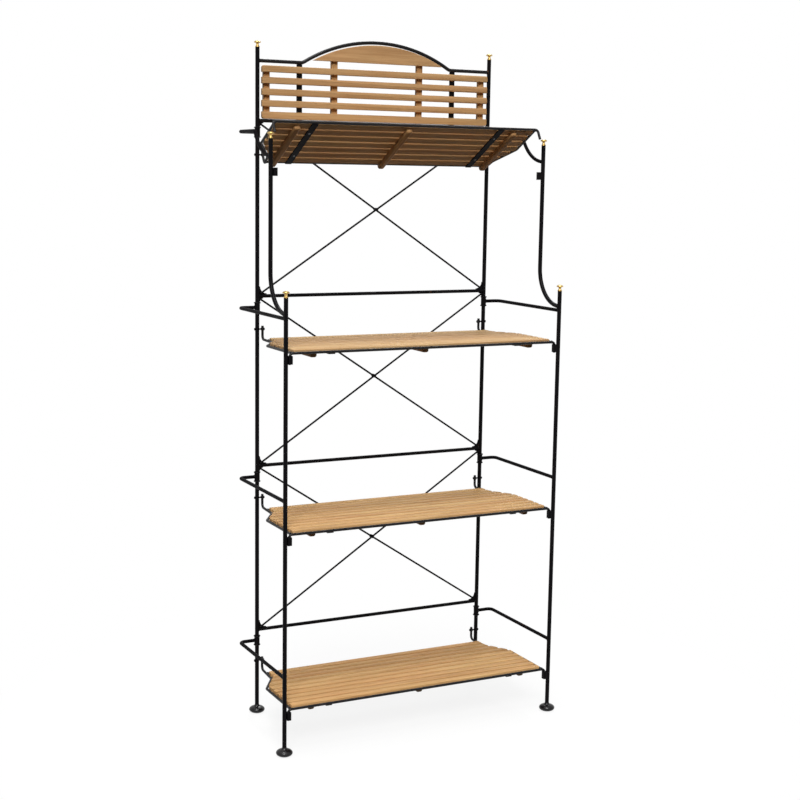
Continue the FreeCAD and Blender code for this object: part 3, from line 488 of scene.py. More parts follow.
def oiled_teak():
    """Straight-grained teak: a tone with painted shade in it and a share of painted shade tint for each
    board, streaks, pores and dull end grain.
    """
    finish, tree, shader = new_finish("oiled_teak", Specular_IOR_Level=TEAK_GLOSS)
    grain = board_mark(tree, "grain", "Vector")
    figure = grained(tree, grain, *FIGURE_GRAIN)
    streak = grained(tree, grain, *STREAK_GRAIN)
    pores = grained(tree, grain, *PORE_GRAIN)
    cloud = grained(tree, grain, *CLOUD_GRAIN)

    pale = mixed(tree, between(tree, figure, *FIGURE_SPAN), *PALE_TEAK)
    dark = mixed(tree, between(tree, figure, *FIGURE_SPAN), *DARK_TEAK)
    # The tone holds painted shade too: each level is paler or darker as the lamps light it less or more
    board_colour = mixed(tree, board_mark(tree, "tone_and_shade"), pale, dark)
    blotched = mixed(tree, between(tree, cloud, *BLOTCH_SPAN), board_colour, RED_BLOTCH)
    streaked = mixed(tree, between(tree, streak, *STREAK_SPAN), blotched, STREAK_BROWN)
    pored = mixed(tree, between(tree, pores, *PORE_SPAN), streaked, PORE_BROWN)
    cut_end = mixed(tree, CUT_END_DEPTH, pored, CUT_END_BROWN, "MULTIPLY")
    ended = mixed(tree, times(tree, board_mark(tree, "end_grain"), CUT_END_SHARE), pored, cut_end)
    # Painted shade: a darker, greyer tint on the boards that the lamps light most
    colour = mixed(tree, board_mark(tree, "painted_shade"), ended, PAINTED_SHADE_TINT, "MULTIPLY")

    rough = between(tree, streak, *TEAK_ROUGH_SPAN)
    raised = bumped(tree, streak, *STREAK_RELIEF)
    opened = bumped(tree, between(tree, pores, *PORE_DEPTH_SPAN), *PORE_RELIEF, under=raised)
    drive(tree, shader, Base_Color=colour, Roughness=rough, Normal=opened)
    return finish


# Iron: colours, noise as scale and detail, spans of noise, and relief


BLACK_PAINT = (0.0022, 0.0019, 0.0027, 1)
HAZED_PAINT = (0.0050, 0.0038, 0.0042, 1)
DARK_RUST = (0.10, 0.038, 0.014, 1)
PALE_RUST = (0.30, 0.15, 0.07, 1)
HAZE_NOISE = (13, 5)
SKIN_NOISE = (420, 2)
LUMP_NOISE = (95, 3)
CHIP_NOISE = (130, 4)
PATCH_NOISE = (7.5, 3)
RUST_NOISE = (300, 3)
HAZE_SPAN = (0.42, 0.75)
PATCH_SPAN = (0.58, 0.68)
SHEEN_SPAN = (0.3, 0.75)
HAZED_DULLNESS = 1.6
RUST_DULLNESS = 0.4
LUMP_RELIEF = (0.012, 0.0006)
SKIN_RELIEF = (0.008, 0.0002)


def black_iron(name, rust, gloss, dullness):
    """Black paint of some gloss with a fine skin, brown haze and chips that have rusted."""
    finish, tree, shader = new_finish(name, Specular_IOR_Level=gloss)
    place = object_place(tree)
    haze = noise(tree, place, *HAZE_NOISE)
    chips = noise(tree, place, *CHIP_NOISE)
    patches = noise(tree, place, *PATCH_NOISE)

    painted = mixed(tree, between(tree, haze, *HAZE_SPAN), BLACK_PAINT, HAZED_PAINT)
    worn = times(tree, between(tree, chips, *rust), between(tree, patches, *PATCH_SPAN))
    rusted = mixed(tree, noise(tree, place, *RUST_NOISE), DARK_RUST, PALE_RUST)
    colour = mixed(tree, worn, painted, rusted)
    sheen = between(tree, haze, *SHEEN_SPAN, dullness, dullness * HAZED_DULLNESS)
    rough = worked(tree, "ADD", sheen, times(tree, worn, RUST_DULLNESS))
    pitted = bumped(tree, noise(tree, place, *LUMP_NOISE), *LUMP_RELIEF)
    peeled = bumped(tree, noise(tree, place, *SKIN_NOISE), *SKIN_RELIEF, under=pitted)
    drive(tree, shader, Base_Color=colour, Roughness=rough, Normal=peeled)
    return finish


# Brass and zinc: colours, noise as scale and detail, spans of noise, and relief


BRIGHT_BRASS = (0.56, 0.38, 0.13, 1)
BROWNED_BRASS = (0.26, 0.16, 0.05, 1)
TARNISH_NOISE = (120, 4)
SCRATCH_GRAIN = ((60, 60, 900), 2)
TARNISH_SPAN = (0.45, 0.75, 0, 0.7)
BRASS_ROUGH_SPAN = (0.3, 0.75, 0.2, 0.42)
SCRATCH_RELIEF = (0.1, 0.0002)
GREY_ZINC = (0.14, 0.145, 0.155, 1)
STAINED_ZINC = (0.06, 0.056, 0.052, 1)
STAIN_NOISE = (260, 3)
STAIN_SPAN = (0.4, 0.75)
ZINC_ROUGH_SPAN = (0.3, 0.8, 0.3, 0.55)


def rubbed_brass():
    """Brass, bright where hands touch it and browned in patches."""
    finish, tree, shader = new_finish("rubbed_brass", Metallic=1)
    place = object_place(tree)
    tarnish = noise(tree, place, *TARNISH_NOISE)
    colour = mixed(tree, between(tree, tarnish, *TARNISH_SPAN), BRIGHT_BRASS, BROWNED_BRASS)
    rough = between(tree, tarnish, *BRASS_ROUGH_SPAN)
    scratched = bumped(tree, grained(tree, place, *SCRATCH_GRAIN), *SCRATCH_RELIEF)
    drive(tree, shader, Base_Color=colour, Roughness=rough, Normal=scratched)
    return finish


def zinc_plate():
    """Dull grey zinc on the wood screws."""
    finish, tree, shader = new_finish("zinc_plate", Metallic=1)
    stain = noise(tree, object_place(tree), *STAIN_NOISE)
    colour = mixed(tree, between(tree, stain, *STAIN_SPAN), GREY_ZINC, STAINED_ZINC)
    drive(tree, shader, Base_Color=colour, Roughness=between(tree, stain, *ZINC_ROUGH_SPAN))
    return finish


# Finishes of the pieces


FINISHES = {
    "iron": black_iron("black_iron", rust=(0.66, 0.74), gloss=0.06, dullness=0.3),
    "teak": oiled_teak(),
    "brass": rubbed_brass(),
    "screws": zinc_plate(),
}
WELD_FINISH = black_iron("welded_iron", rust=(0.5, 0.6), gloss=0.07, dullness=0.2)
DULL_FINISH = black_iron("dull_iron", rust=(0.62, 0.7), gloss=0.025, dullness=0.4)
SATIN_FINISH = black_iron("satin_iron", rust=(0.66, 0.74), gloss=0.18, dullness=0.3)
FOOT_FINISH = black_iron("rubbed_iron", rust=(0.68, 0.76), gloss=0.3, dullness=0.26)

# Endings of the names of the frame's duller and glossier pieces

DULL_PIECES = ("_shelf_straps", "_side_rails", "_side_rail")
SATIN_PIECES = ("_shelf_frame", "gallery_arch_rail", "gallery_bottom_rail")


def fitted(piece, body, slot, *nodes, finish=None):
    """Give a finished piece its finish and its body, and hide the frame's pieces that it stands for."""
    only(piece)
    bpy.ops.object.shade_smooth_by_angle(angle=SMOOTH_ANGLE)
    piece.data.materials.clear()
    piece.data.materials.append(finish or FINISHES[slot])
    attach(piece, body)
    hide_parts(*nodes)


def finish_frame():
    """The frame's own tubes, rods, plates and collars."""
    slots = {row["node"]: row["material_slot"] for row in frame["record"]["subparts"]}
    for name, piece in frame["nodes"].items():
        finish = FINISHES[slots[name]]
        if name.endswith(DULL_PIECES):
            finish = DULL_FINISH
        elif name.endswith(SATIN_PIECES):
            finish = SATIN_FINISH
        for place in piece.material_slots:
            place.material = finish


# Timber


END_FACING = 0.6
LOG_SIZE = (30, 3, 3)


def mark_grain(piece, tone_and_shade, painted_shade):
    """Keep each board's own grain direction, place in the log, tone with painted shade and share of painted
    shade tint with its mesh.
    """
    mesh = piece.data
    log_place = Vector([chance.uniform(0, size) for size in LOG_SIZE])
    grain = mesh.attributes.new("grain", "FLOAT_VECTOR", "POINT")
    for item, vertex in zip(grain.data, mesh.vertices):
        item.vector = vertex.co + log_place
    tones_and_shade = mesh.attributes.new("tone_and_shade", "FLOAT", "FACE")
    painted_shades = mesh.attributes.new("painted_shade", "FLOAT", "FACE")
    ends = mesh.attributes.new("end_grain", "FLOAT", "FACE")
    for number, face in enumerate(mesh.polygons):
        tones_and_shade.data[number].value = tone_and_shade
        painted_shades.data[number].value = painted_shade
        ends.data[number].value = abs(face.normal.x) > END_FACING


def board(name, length, width, thickness, radius, tones_and_shade, painted_shade=0, corner=EASED_EDGE, sawn=None):
    """Planed board along X that lies on Z = 0, rounded round its upper face and eased below."""
    piece = block(name, (length, width, thickness))
    if sawn:
        sawn(piece)

    def at_side(end):
        return abs(end.y) > width / 2 - TINY

    def in_outline(ends):
        across = abs(ends[0].x - ends[1].x) < length / 2
        return across or any(at_side(end) for end in ends)

    def upright(ends):
        return height_of(ends) > thickness / 2 and at_side(ends[0])

    def upper(ends):
        return all(end.z > thickness - TINY for end in ends) and in_outline(ends)

    def lower(ends):
        return all(end.z < TINY for end in ends) and in_outline(ends)

    rounded(piece, corner, ROUND_STEPS, upright)
    rounded(piece, radius, ROUND_STEPS, upper)
    rounded(piece, EASED_EDGE / 2, 1, lower)
    mark_grain(piece, chance.uniform(*tones_and_shade), painted_shade)
    return piece


def top_shelf_tilt():
    """Tilt at which the pins of the raised top shelf stand on the upper leg finials."""
    pin_depth = UPPER_LEG_DEPTH - PIN_SETBACK
    pin_drop = SHELF_DROP + PIN_LENGTH
    rest = max(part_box("right_finials")[1].z, UPPER_LEG_TOP) + FINIAL_REST_GAP - PIVOTS[TOP].z
    return math.degrees(math.asin(rest / math.hypot(pin_depth, pin_drop)) + math.atan2(pin_drop, pin_depth))


def shelf_place(level):
    """Shelf's own frame: the pivot axis is its X axis and its front lies at -Y."""
    tilt = top_shelf_tilt() if level == TOP else 0
    return Matrix.Translation(PIVOTS[level]) @ turn(-tilt, "X")


def inside_rod(first, second):
    """Line inside a stretch of end rod, as its reach at zero depth and its slope."""
    inset = ROD_RADIUS + SLAT_END_GAP
    slope = (second[0] - first[0]) / (second[1] - first[1])
    return first[0] - first[1] * slope - inset * math.hypot(1, slope), slope


def slat_ends(bend, corner):
    """Reach of the slats at a depth, and the depths at which their ends change direction."""
    rear_corner = (CORNER_X, corner)
    rear = inside_rod((HOOK_X, 0), rear_corner)
    slant = inside_rod(rear_corner, (END_ROD_X, bend))
    straight = END_ROD_X - ROD_RADIUS - SLAT_END_GAP

    def reach(depth):
        return min(max(rear[0] + rear[1] * depth, slant[0] + slant[1] * depth), straight)

    turns = ((slant[0] - rear[0]) / (rear[1] - slant[1]), (straight - slant[0]) / slant[1])
    return reach, turns


def sawn_slat(edge, width, outline, tones_and_shade, painted_shade):
    """Slat whose ends run along the end rods."""
    reach, turns = slat_ends(outline["bend"], outline["corner"])
    middle = edge + width / 2
    stray = [chance.uniform(0, SLAT_LENGTH_STRAY) for sign in SIGNS]

    def saw(piece):
        only(piece)
        bpy.ops.object.mode_set(mode="EDIT")
        for depth in turns:
            if edge < depth < edge + width:
                bpy.ops.mesh.select_all(action="SELECT")
                bpy.ops.mesh.bisect(plane_co=(0, middle - depth, 0), plane_no=(0, 1, 0))
        bpy.ops.object.mode_set(mode="OBJECT")
        for corner in piece.data.vertices:
            end = reach(middle - corner.co.y)
            corner.co.x = end - stray[0] if corner.co.x > 0 else stray[1] - end

    return board("slat", 2 * END_ROD_X, width, SLAT_THICKNESS, SLAT_ROUND, tones_and_shade, painted_shade, SLAT_CORNER, saw)


def driven(screw, seat):
    """Copy of a screw, driven in at its seat with its slot left at some angle."""
    return placed(copy_of(screw), seat @ turn(chance.uniform(0, SCREW_TURN), "Z"))


def shelf_timber(level, screw):
    """Slats on three battens, and the screws that hold the straps to two of the slats."""
    name = LEVELS[level] + "_shelf"
    place = shelf_place(level)
    outline = OUTLINES[level]
    count = SLAT_COUNTS[level]
    front = outline["front"]
    rear = outline["rear"]
    pitch = (front - rear - 2 * ROD_RADIUS - 2 * SLAT_RAIL_GAP + SLAT_GAP) / count
    width = pitch - SLAT_GAP
    screw_rows = (1, count - 2)
    slats = []
    screws = []
    for row in range(count):
        edge = rear + ROD_RADIUS + SLAT_RAIL_GAP + row * pitch
        middle = edge + width / 2
        slat = sawn_slat(edge, width, outline, SHELF_TONES_AND_PAINTED_SHADE[level], SHELF_PAINTED_SHADES[level])
        slats.append(placed(slat, place @ shift(0, -middle, -TIMBER_DROP)))
        if row in screw_rows:
            for sign in SIGNS:
                seat = place @ shift(sign * STRAP_PLACE, -middle, -TIMBER_DROP - STRAP_THICKNESS)
                screws.append(driven(screw, seat @ turn(180, "X")))
    fitted(gathered(name + "_planed_slats", slats), name, "teak", name + "_slats")
    fitted(gathered(name + "_slotted_screws", screws), name, "screws", name + "_screws")

    battens = []
    nose = front - BATTEN_SETBACK
    tail = rear - BATTEN_TAIL
    for x in BATTEN_PLACES:
        batten = board("batten", nose - tail, BATTEN_WIDTH, BATTEN_THICKNESS, BATTEN_ROUND, BATTEN_TONES,
                       corner=BATTEN_CORNER)
        under = place @ shift(x, -(nose + tail) / 2, -TIMBER_DROP)
        battens.append(placed(batten, under @ turn(90, "Z") @ turn(180, "X")))
    fitted(gathered(name + "_rounded_battens", battens), name, "teak", name + "_battens")


def round_outer_corners(piece, outer):
    """Round the outer corners of the top slat, where outer is 1, or of the bottom one, where it is -1."""

    def outside(ends):
        return height_of(ends) > GALLERY_SLAT_THICKNESS / 2 and ends[0].y * outer > 0

    if outer:
        rounded(piece, GALLERY_OUTER_CORNER, CORNER_STEPS, outside)


def gallery_slats(screw):
    """Five level slats, the lowest one a little wider, with the screws through the straps."""
    length = 2 * (POST_X - POST_RADIUS - GALLERY_SLAT_END_GAP)
    slats = []
    screws = []
    for row in range(GALLERY_SLAT_COUNT):
        z = GALLERY_TOP - GALLERY_SLAT_DROP - row * GALLERY_SLAT_PITCH
        outer = {0: 1, GALLERY_SLAT_COUNT - 1: -1}.get(row, 0)
        lip = BOTTOM_SLAT_LIP if outer < 0 else 0
        slat = board("gallery_slat", length, GALLERY_SLAT_HEIGHT + lip, GALLERY_SLAT_THICKNESS,
                     GALLERY_SLAT_ROUND, GALLERY_TONES_AND_PAINTED_SHADE, GALLERY_PAINTED_SHADE,
                     sawn=lambda piece: round_outer_corners(piece, outer))
        slats.append(placed(slat, shift(0, GALLERY_FACE_Y, z - lip / 2) @ turn(90, "X")))
        for sign in SIGNS:
            seat = shift(sign * GALLERY_STRAP_PLACE, GALLERY_FACE_Y + STRAP_THICKNESS, z)
            screws.append(driven(screw, seat @ turn(-90, "X")))
    fitted(gathered("gallery_planed_slats", slats), "rear_frame", "teak", "gallery_slats")
    fitted(gathered("gallery_slotted_screws", screws), "rear_frame", "screws", "gallery_screws")


def gallery_battens():
    """Two outer and two taller inner battens behind the slats."""
    battens = []
    foot = GALLERY_BOTTOM + GALLERY_BATTEN_FOOT
    uprights = (
        (POST_X - OUTER_BATTEN_INSET, GALLERY_TOP - OUTER_BATTEN_DROP),
        (INNER_BATTEN_PLACE, GALLERY_TOP + INNER_BATTEN_RISE),
    )
    for x, top in uprights:
        for sign in SIGNS:
            batten = board("gallery_batten", top - foot, GALLERY_BATTEN_WIDTH, GALLERY_BATTEN_THICKNESS,
                           GALLERY_SLAT_ROUND, BATTEN_TONES)
            middle = shift(sign * x, GALLERY_FACE_Y, (top + foot) / 2)
            battens.append(placed(batten, middle @ turn(-90, "X") @ turn(90, "Z")))
    fitted(gathered("gallery_upright_battens", battens), "rear_frame", "teak", "gallery_battens")


def arch_board():
    """Disc cut off level below and given its thickness, with the edges of its face eased."""
    radius = ARCH_RADIUS - RAIL_RADIUS - ARCH_BOARD_GAP
    level = ARCH_RADIUS - ARCH_RISE + ARCH_BOARD_LIFT
    bpy.ops.object.select_all(action="DESELECT")
    bpy.ops.mesh.primitive_circle_add(vertices=ARCH_BOARD_SIDES, radius=radius, fill_type="NGON")
    piece = bpy.context.object
    piece.name = "gallery_sawn_arch_board"
    bpy.ops.object.mode_set(mode="EDIT")
    bpy.ops.mesh.select_all(action="SELECT")
    bpy.ops.mesh.bisect(plane_co=(0, level, 0), plane_no=(0, 1, 0), clear_inner=True)
    bpy.ops.mesh.select_all(action="SELECT")
    bpy.ops.mesh.extrude_region_move(TRANSFORM_OT_translate={"value": (0, 0, GALLERY_SLAT_THICKNESS)})
    bpy.ops.mesh.select_all(action="SELECT")
    bpy.ops.mesh.normals_make_consistent(inside=False)
    bpy.ops.object.mode_set(mode="OBJECT")
    face = GALLERY_SLAT_THICKNESS - TINY
    rounded(piece, GALLERY_SLAT_ROUND, ROUND_STEPS, lambda ends: all(end.z > face for end in ends))
    mark_grain(piece, ARCH_BOARD_PAINTED_SHADE_TONE, GALLERY_PAINTED_SHADE)
    placed(piece, shift(0, GALLERY_FACE_Y, GALLERY_TOP + ARCH_RISE - ARCH_RADIUS) @ turn(90, "X"))
    fitted(piece, "rear_frame", "teak", "gallery_arch_board")


def timber():
    """All boards of the shelves and the gallery, and the screws that hold them."""
    screw = slotted_screw()
    for level in range(len(LEVELS)):
        shelf_timber(level, screw)
    gallery_slats(screw)
    gallery_battens()
    arch_board()
    bpy.data.objects.remove(screw)


# Turnings


def finials():
    """Brass finials: a bead on the tube, a slender neck and a domed button."""
    button = round_steps(**FINIAL_RIM) + round_steps(**FINIAL_DOME)
    profile = [*FINIAL_SPIGOT, *round_steps(**FINIAL_BEAD), *FINIAL_NECK, *button]
    pattern = turned("finial", profile, FINIAL_SIDES)
    sets = [("rear_finials", "rear_frame", [shift(sign * POST_X, REAR_Y, POST_TOP) for sign in SIGNS])]
    for side, sign in SIDES:
        places = [
            shift(sign * LEG_X, FRONT_Y, LOWER_LEG_TOP),
            shift(sign * LEG_X, UPPER_FRONT_Y, UPPER_LEG_TOP),
        ]
        sets.append((side + "_finials", side + "_side_frame", places))
    for node, body, places in sets:
        fitted(gathered("turned_" + node, copies(pattern, places)), body, "brass", node)
    bpy.data.objects.remove(pattern)


def feet():
    """Flattened ball feet with a short hollow neck that runs out into the tube."""
    profile = [(FOOT_SOLE_RADIUS, 0), *round_steps(**FOOT_BALL), *FOOT_NECK, *FOOT_SPIGOT]
    pattern = turned("foot", profile, FOOT_SIDES)
    places = {}
    for side, sign in SIDES:
        places["rear_foot_" + side] = ("rear_frame", shift(sign * POST_X, REAR_Y, 0))
        places[side + "_front_foot"] = (side + "_side_frame", shift(sign * LEG_X, FRONT_Y, 0))
    for node, (body, place) in places.items():
        fitted(gathered("turned_" + node, copies(pattern, [place])), body, "iron", node, finish=FOOT_FINISH)
    bpy.data.objects.remove(pattern)


def stop_rings():
    """Turned rings, widest at the middle, on the posts above and below each hinge collar."""
    profile = [(POST_RADIUS, 0), *RING_OUTSIDE, (POST_RADIUS, RING_HEIGHT), (POST_RADIUS, 0)]
    pattern = turned("ring", profile, RING_SIDES, hollow=True)
    reach = COLLAR_HEIGHT / 2 + JOINT_GAP
    places = []
    for rail in RAIL_LEVELS:
        collar = rail - HINGE_DROP
        for sign in SIGNS:
            for foot in (collar + reach, collar - reach - RING_HEIGHT):
                places.append(shift(sign * POST_X, REAR_Y, foot))
    fitted(gathered("turned_stop_rings", copies(pattern, places)), "rear_frame", "iron", "hinge_stop_rings")
    bpy.data.objects.remove(pattern)


# Fasteners


def slotted_screw():
    """Round-head wood screw that stands on Z = 0, with its point below and a slot across its head."""
    taper_radius, taper_depth = SCREW_TAPER_SHARES
    point = [
        (SCREW_RADIUS * SCREW_POINT_SHARE, -SCREW_BITE - STRAP_THICKNESS),
        (SCREW_RADIUS * taper_radius, -SCREW_BITE * taper_depth),
        (SCREW_RADIUS, 0),
    ]
    head = shared_steps(SCREW_HEAD_SHARES, SCREW_HEAD_RADIUS, 0, SCREW_HEAD_HEIGHT)
    piece = turned("screw", point + head, SCREW_SIDES)
    only(piece)
    bpy.ops.object.mode_set(mode="EDIT")
    for edge in (SCREW_SLOT / 2, -SCREW_SLOT / 2):
        bpy.ops.mesh.select_all(action="SELECT")
        bpy.ops.mesh.bisect(plane_co=(0, edge, 0), plane_no=(0, 1, 0))
    bpy.ops.object.mode_set(mode="OBJECT")
    lowest = SCREW_HEAD_HEIGHT * SCREW_SLOT_REACH_SHARE

    def in_slot(corners):
        return all(abs(corner.y) < SCREW_SLOT / 2 + TINY and corner.z > lowest for corner in corners)

    choose(piece, "FACE", in_slot)
    bpy.ops.mesh.extrude_region_move(TRANSFORM_OT_translate={"value": (0, 0, -SCREW_SLOT_DEPTH)})
    bpy.ops.object.mode_set(mode="OBJECT")
    return piece


def hexagon(name, foot, height):
    """Six-sided head or nut with its corners turned off."""
    return turned(name, shared_steps(HEXAGON_SHARES, BOLT_HEAD_RADIUS, foot, height), 6)


def pivot_bolts():
    """Bolts across the posts: washer and head outside, shank, and a nut inside the shelf's eye."""
    thread_end = -(HOOK_INSET + EYE_WIDTH / 2 + JOINT_GAP) - NUT_HEIGHT
    chamfer = BOLT_RADIUS * BOLT_POINT_SHARE
    seat = POST_RADIUS + WASHER_THICKNESS
    shank = [(BOLT_RADIUS - chamfer, thread_end - chamfer), (BOLT_RADIUS, thread_end), (BOLT_RADIUS, seat)]
    washer = shared_steps(WASHER_SHARES, BOLT_HEAD_RADIUS, POST_RADIUS, WASHER_THICKNESS)
    pattern = gathered("bolt", [
        turned("shank", shank, SCREW_SIDES),
        turned("washer", washer, ROUND_SIDES),
        hexagon("head", seat, BOLT_HEAD_HEIGHT - WASHER_THICKNESS),
        hexagon("nut", thread_end, NUT_HEIGHT),
    ])
    places = []
    for pivot in PIVOTS:
        for sign in SIGNS:
            outward = shift(sign * POST_X, pivot.y, pivot.z) @ turn(90 * sign, "Y")
            places.append(outward @ turn(chance.uniform(0, BOLT_TURN), "Z"))
    fitted(gathered("hexagon_pivot_bolts", copies(pattern, places)), "rear_frame", "iron", "pivot_bolts")
    bpy.data.objects.remove(pattern)


def brace_rivets():
    """Domed rivets with a distance piece where the brace rods cross."""
    half = GUSSET_THICKNESS / 2
    flat = GUSSET_THICKNESS / 3
    stack = half + BRACE_DIAMETER
    edge = RIVET_HEAD_RADIUS * SPACER_EDGE_SHARE
    head = round_steps((0, stack), (RIVET_HEAD_RADIUS, RIVET_HEAD_HEIGHT), **RIVET_DOME)
    shank = [(RIVET_RADIUS, half), (RIVET_RADIUS, stack), (RIVET_HEAD_RADIUS * RIVET_SEAT_SHARE, stack)]
    spacer = [(RIVET_RADIUS, -half), (edge, -half), (RIVET_HEAD_RADIUS, -flat),
              (RIVET_HEAD_RADIUS, flat), (edge, half), (RIVET_RADIUS, half)]
    front = turned("rivet_front", shank + head, ROUND_SIDES)
    rear = placed(copy_of(front), turn(180, "X"))
    pattern = gathered("rivet", [front, rear, turned("rivet_spacer", spacer, ROUND_SIDES)])
    places = []
    for below, above in zip(RAIL_LEVELS, RAIL_LEVELS[1:]):
        places.append(shift(0, REAR_Y, (below + above) / 2) @ turn(90, "X"))
    fitted(gathered("domed_brace_rivets", copies(pattern, places)), "rear_frame", "iron", "brace_rivets")
    bpy.data.objects.remove(pattern)


# Sockets and welds


def pin_socket():
    """Short square tube with rounded corners, open at both ends, its rim at Z = 0."""
    width, depth, height = SOCKET_SIZE
    inside = width / 2 - SOCKET_WALL / 2
    deep = depth / 2 - SOCKET_WALL / 2

    def level(corners):
        return height_of(corners) < height / 2

    def inner_rim(ends):
        return level(ends) and all(abs(end.x) < inside and abs(end.y) < deep for end in ends)

    piece = placed(block("socket", SOCKET_SIZE), shift(0, 0, -height))
    rounded(piece, SOCKET_ROUND, ROUND_STEPS, lambda ends: not level(ends))
    choose(piece, "FACE", level)
    bpy.ops.mesh.inset(thickness=SOCKET_WALL)
    bpy.ops.mesh.delete(type="FACE")
    bpy.ops.object.mode_set(mode="OBJECT")
    choose(piece, "EDGE", inner_rim)
    bpy.ops.mesh.bridge_edge_loops()
    bpy.ops.mesh.select_all(action="SELECT")
    bpy.ops.mesh.normals_make_consistent(inside=False)
    bpy.ops.object.mode_set(mode="OBJECT")
    return piece


def pin_sockets():
    """Sockets beside the legs, one for each shelf pin."""
    pattern = pin_socket()
    for side, sign in SIDES:
        places = [shift(sign * PIN_X, y, pivot.z + SOCKET_TOP) for y, pivot in zip(LEG_LINES, PIVOTS)]
        sockets = gathered(side + "_pin_sockets", copies(pattern, places))
        fitted(sockets, side + "_side_frame", "iron", side + "_shelf_sleeves")
    bpy.data.objects.remove(pattern)


def weld_bead(radius, place):
    """Uneven ring of weld round a bar of that radius."""
    bpy.ops.object.select_all(action="DESELECT")
    bpy.ops.mesh.primitive_torus_add(major_radius=radius, minor_radius=BEAD_RADIUS,
                                     major_segments=BEAD_STEPS, minor_segments=BEAD_SIDES)
    piece = bpy.context.object
    piece.name = "bead"
    bpy.ops.object.mode_set(mode="EDIT")
    bpy.ops.mesh.select_all(action="SELECT")
    bpy.ops.transform.vertex_random(offset=BEAD_STRAY, seed=chance.randint(*BEAD_SEEDS))
    bpy.ops.object.mode_set(mode="OBJECT")
    return placed(piece, place)


ALONG_X = turn(90, "Y")
ALONG_Y = turn(90, "X")


def rear_welds():
    """Beads where the rails meet the posts."""
    beads = []
    for z in RAIL_LEVELS + [GALLERY_TOP]:
        for sign in SIGNS:
            rail_end = shift(sign * (POST_X - POST_RADIUS), REAR_Y, z)
            beads.append(weld_bead(RAIL_RADIUS, rail_end @ ALONG_X))
    fitted(gathered("rear_frame_welds", beads), "rear_frame", "iron", finish=WELD_FINISH)


def side_welds(side, sign):
    """Beads where the side rails meet the collars and legs, and where the upper leg meets the lower."""
    beads = []
    for rail, y, fall in zip(RAIL_LEVELS, LEG_LINES, RAIL_FALLS):
        z = rail - HINGE_DROP
        collar_end = shift(sign * (POST_X + COLLAR_RADIUS), REAR_Y, z)
        leg_end = shift(sign * LEG_X, y + POST_RADIUS, z - fall)
        beads.append(weld_bead(RAIL_RADIUS, collar_end @ ALONG_X))
        beads.append(weld_bead(RAIL_RADIUS, leg_end @ ALONG_Y))
    upper_rail = RAIL_LEVELS[TOP - 1] - HINGE_DROP
    bend_end = shift(sign * LEG_X, FRONT_Y + POST_RADIUS, upper_rail + RAIL_RADIUS + POST_RADIUS)
    beads.append(weld_bead(POST_RADIUS, bend_end @ ALONG_Y))
    fitted(gathered(side + "_side_frame_welds", beads), side + "_side_frame", "iron", finish=WELD_FINISH)


def shelf_welds(level):
    """Beads where the end rods of a shelf meet its front and rear rails."""
    name = LEVELS[level] + "_shelf"
    outline = OUTLINES[level]
    place = shelf_place(level)
    rear_reach = HOOK_X + (CORNER_X - HOOK_X) * outline["rear"] / outline["corner"]
    beads = []
    for sign in SIGNS:
        front_end = shift(sign * END_ROD_X, ROD_RADIUS - outline["front"], -SHELF_DROP)
        rear_end = shift(sign * (rear_reach - ROD_RADIUS), -outline["rear"], -SHELF_DROP)
        beads.append(weld_bead(ROD_RADIUS, place @ front_end @ ALONG_Y))
        beads.append(weld_bead(ROD_RADIUS, place @ rear_end @ ALONG_X))
    fitted(gathered(name + "_welds", beads), name, "iron", finish=WELD_FINISH)


def welds():
    rear_welds()
    for side, sign in SIDES:
        side_welds(side, sign)
    for level in range(len(LEVELS)):
        shelf_welds(level)


# Camera


CAMERA_PLACE = Vector((-2.0599, -4.0731, 1.7148))
CAMERA_YAW = math.radians(26.850)
CAMERA_PITCH = math.radians(8.634)
CAMERA_ROLL = math.radians(0.886)
CAMERA_LENS = 66.346
CAMERA_SENSOR = 36


def set_camera():
    level = Vector((math.cos(CAMERA_YAW), -math.sin(CAMERA_YAW), 0))
    forward = Vector((math.sin(CAMERA_YAW), math.cos(CAMERA_YAW), 0))
    ahead = math.cos(CAMERA_PITCH) * forward - Vector((0, 0, math.sin(CAMERA_PITCH)))
    upright = level.cross(ahead)
    right = math.cos(CAMERA_ROLL) * level + math.sin(CAMERA_ROLL) * upright
    up = math.cos(CAMERA_ROLL) * upright - math.sin(CAMERA_ROLL) * level
    lens = bpy.data.cameras.new("camera")
    lens.lens = CAMERA_LENS
    lens.sensor_width = CAMERA_SENSOR
    camera = bpy.data.objects.new("camera", lens)
    bpy.context.scene.collection.objects.link(camera)
    camera.matrix_world = Matrix.Translation(CAMERA_PLACE) @ Matrix((right, up, -ahead)).transposed().to_4x4()
    bpy.context.scene.camera = camera


# Light and floor


HORIZON_LIGHT = 0.015
ZENITH_LIGHT = 0.36
FLOOR_BOUNCE = (0.03, 0.03, 0.03, 1)
FLOOR_WHITE = (0.8, 0.8, 0.8, 1)
FLOOR_RADIUS = 14
FLOOR_SIDES = 64
SHADOW_SPAN = (0.55, 1.3, 0.88, 1)
RACK_MIDDLE = (0, 0, 1.1)
TOP_SHELF = (0, 0, 1.8)
LAMPS = {
    "key_lamp": {"place": (-5.0, -10.8, 11.8), "aim": RACK_MIDDLE, "size": 6.0, "power": 2160},
    "high_lamp": {"place": (-2.5, -5.4, 15.9), "aim": RACK_MIDDLE, "size": 5.0, "power": 820},
    "sky_lamp": {"place": (-1.0, 0.4, 17.0), "aim": TOP_SHELF, "size": 3.2, "power": 1280},
    "rear_lamp": {"place": (5.0, 7.0, 9.5), "aim": RACK_MIDDLE, "size": 3.0, "power": 330},
}


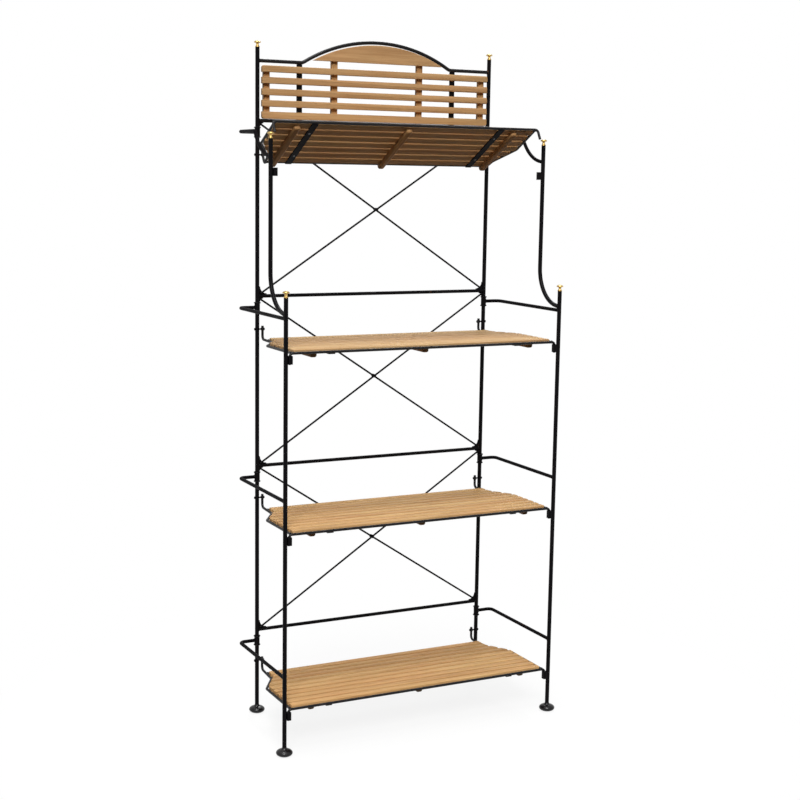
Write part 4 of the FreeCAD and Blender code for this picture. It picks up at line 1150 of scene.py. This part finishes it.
def seen_directly(tree):
    """1 for what the camera sees, also in a reflection or through glass, and 0 for light on surfaces."""
    path = add_node(tree, "ShaderNodeLightPath").outputs
    seen = worked(tree, "MAXIMUM", path["Is Camera Ray"], path["Is Glossy Ray"])
    return worked(tree, "MAXIMUM", seen, path["Is Transmission Ray"])


def mixed_shaders(tree, factor, first, second):
    inputs = {0: factor, 1: first.outputs[0], 2: second.outputs[0]}
    return add_node(tree, "ShaderNodeMixShader", inputs).outputs[0]


def set_world():
    """White backdrop that lights surfaces only softly, more from above than from the horizon."""
    world = bpy.data.worlds.new("studio")
    bpy.context.scene.world = world
    world.use_nodes = True
    tree = world.node_tree
    tree.nodes.clear()
    way = add_node(tree, "ShaderNodeTexCoord").outputs["Generated"]
    height = add_node(tree, "ShaderNodeSeparateXYZ", {"Vector": way}).outputs["Z"]
    strength = between(tree, times(tree, height, height), 0, 1, HORIZON_LIGHT, ZENITH_LIGHT)
    ambient = add_node(tree, "ShaderNodeBackground", {"Color": WHITE, "Strength": strength})
    backdrop = add_node(tree, "ShaderNodeBackground", {"Color": WHITE, "Strength": 1})
    both = mixed_shaders(tree, seen_directly(tree), ambient, backdrop)
    add_node(tree, "ShaderNodeOutputWorld", {"Surface": both})


def floor_finish():
    """White floor that keeps a soft shadow near the feet and runs out into the white backdrop."""
    finish = bpy.data.materials.new("pale_floor")
    finish.use_nodes = True
    tree = finish.node_tree
    tree.nodes.clear()
    away = add_node(tree, "ShaderNodeVectorMath", {0: object_place(tree)}, operation="LENGTH")
    glow = between(tree, away.outputs["Value"], *SHADOW_SPAN)
    seen = seen_directly(tree)
    backdrop = add_node(tree, "ShaderNodeEmission", {"Color": WHITE, "Strength": 1})
    tint = mixed(tree, seen, FLOOR_BOUNCE, FLOOR_WHITE)
    matte = add_node(tree, "ShaderNodeBsdfDiffuse", {"Color": tint})
    both = mixed_shaders(tree, times(tree, glow, seen), matte, backdrop)
    add_node(tree, "ShaderNodeOutputMaterial", {"Surface": both})
    return finish


def set_floor():
    bpy.ops.object.select_all(action="DESELECT")
    bpy.ops.mesh.primitive_circle_add(vertices=FLOOR_SIDES, radius=FLOOR_RADIUS, fill_type="NGON")
    floor = bpy.context.object
    floor.name = "floor"
    floor.data.materials.append(floor_finish())


def set_lamp(name, place, aim, size, power):
    light = bpy.data.lights.new(name, "AREA")
    light.shape = "DISK"
    light.size = size
    light.energy = power
    lamp = bpy.data.objects.new(name, light)
    bpy.context.scene.collection.objects.link(lamp)
    lamp.location = place
    lamp.rotation_euler = (Vector(aim) - Vector(place)).to_track_quat("-Z", "Y").to_euler()


finish_frame()
timber()
finials()
feet()
stop_rings()
pivot_bolts()
brace_rivets()
pin_sockets()
welds()
set_camera()
set_world()
set_floor()
for lamp_name, values in LAMPS.items():
    set_lamp(lamp_name, **values)
bpy.context.scene.view_settings.view_transform = "Standard"
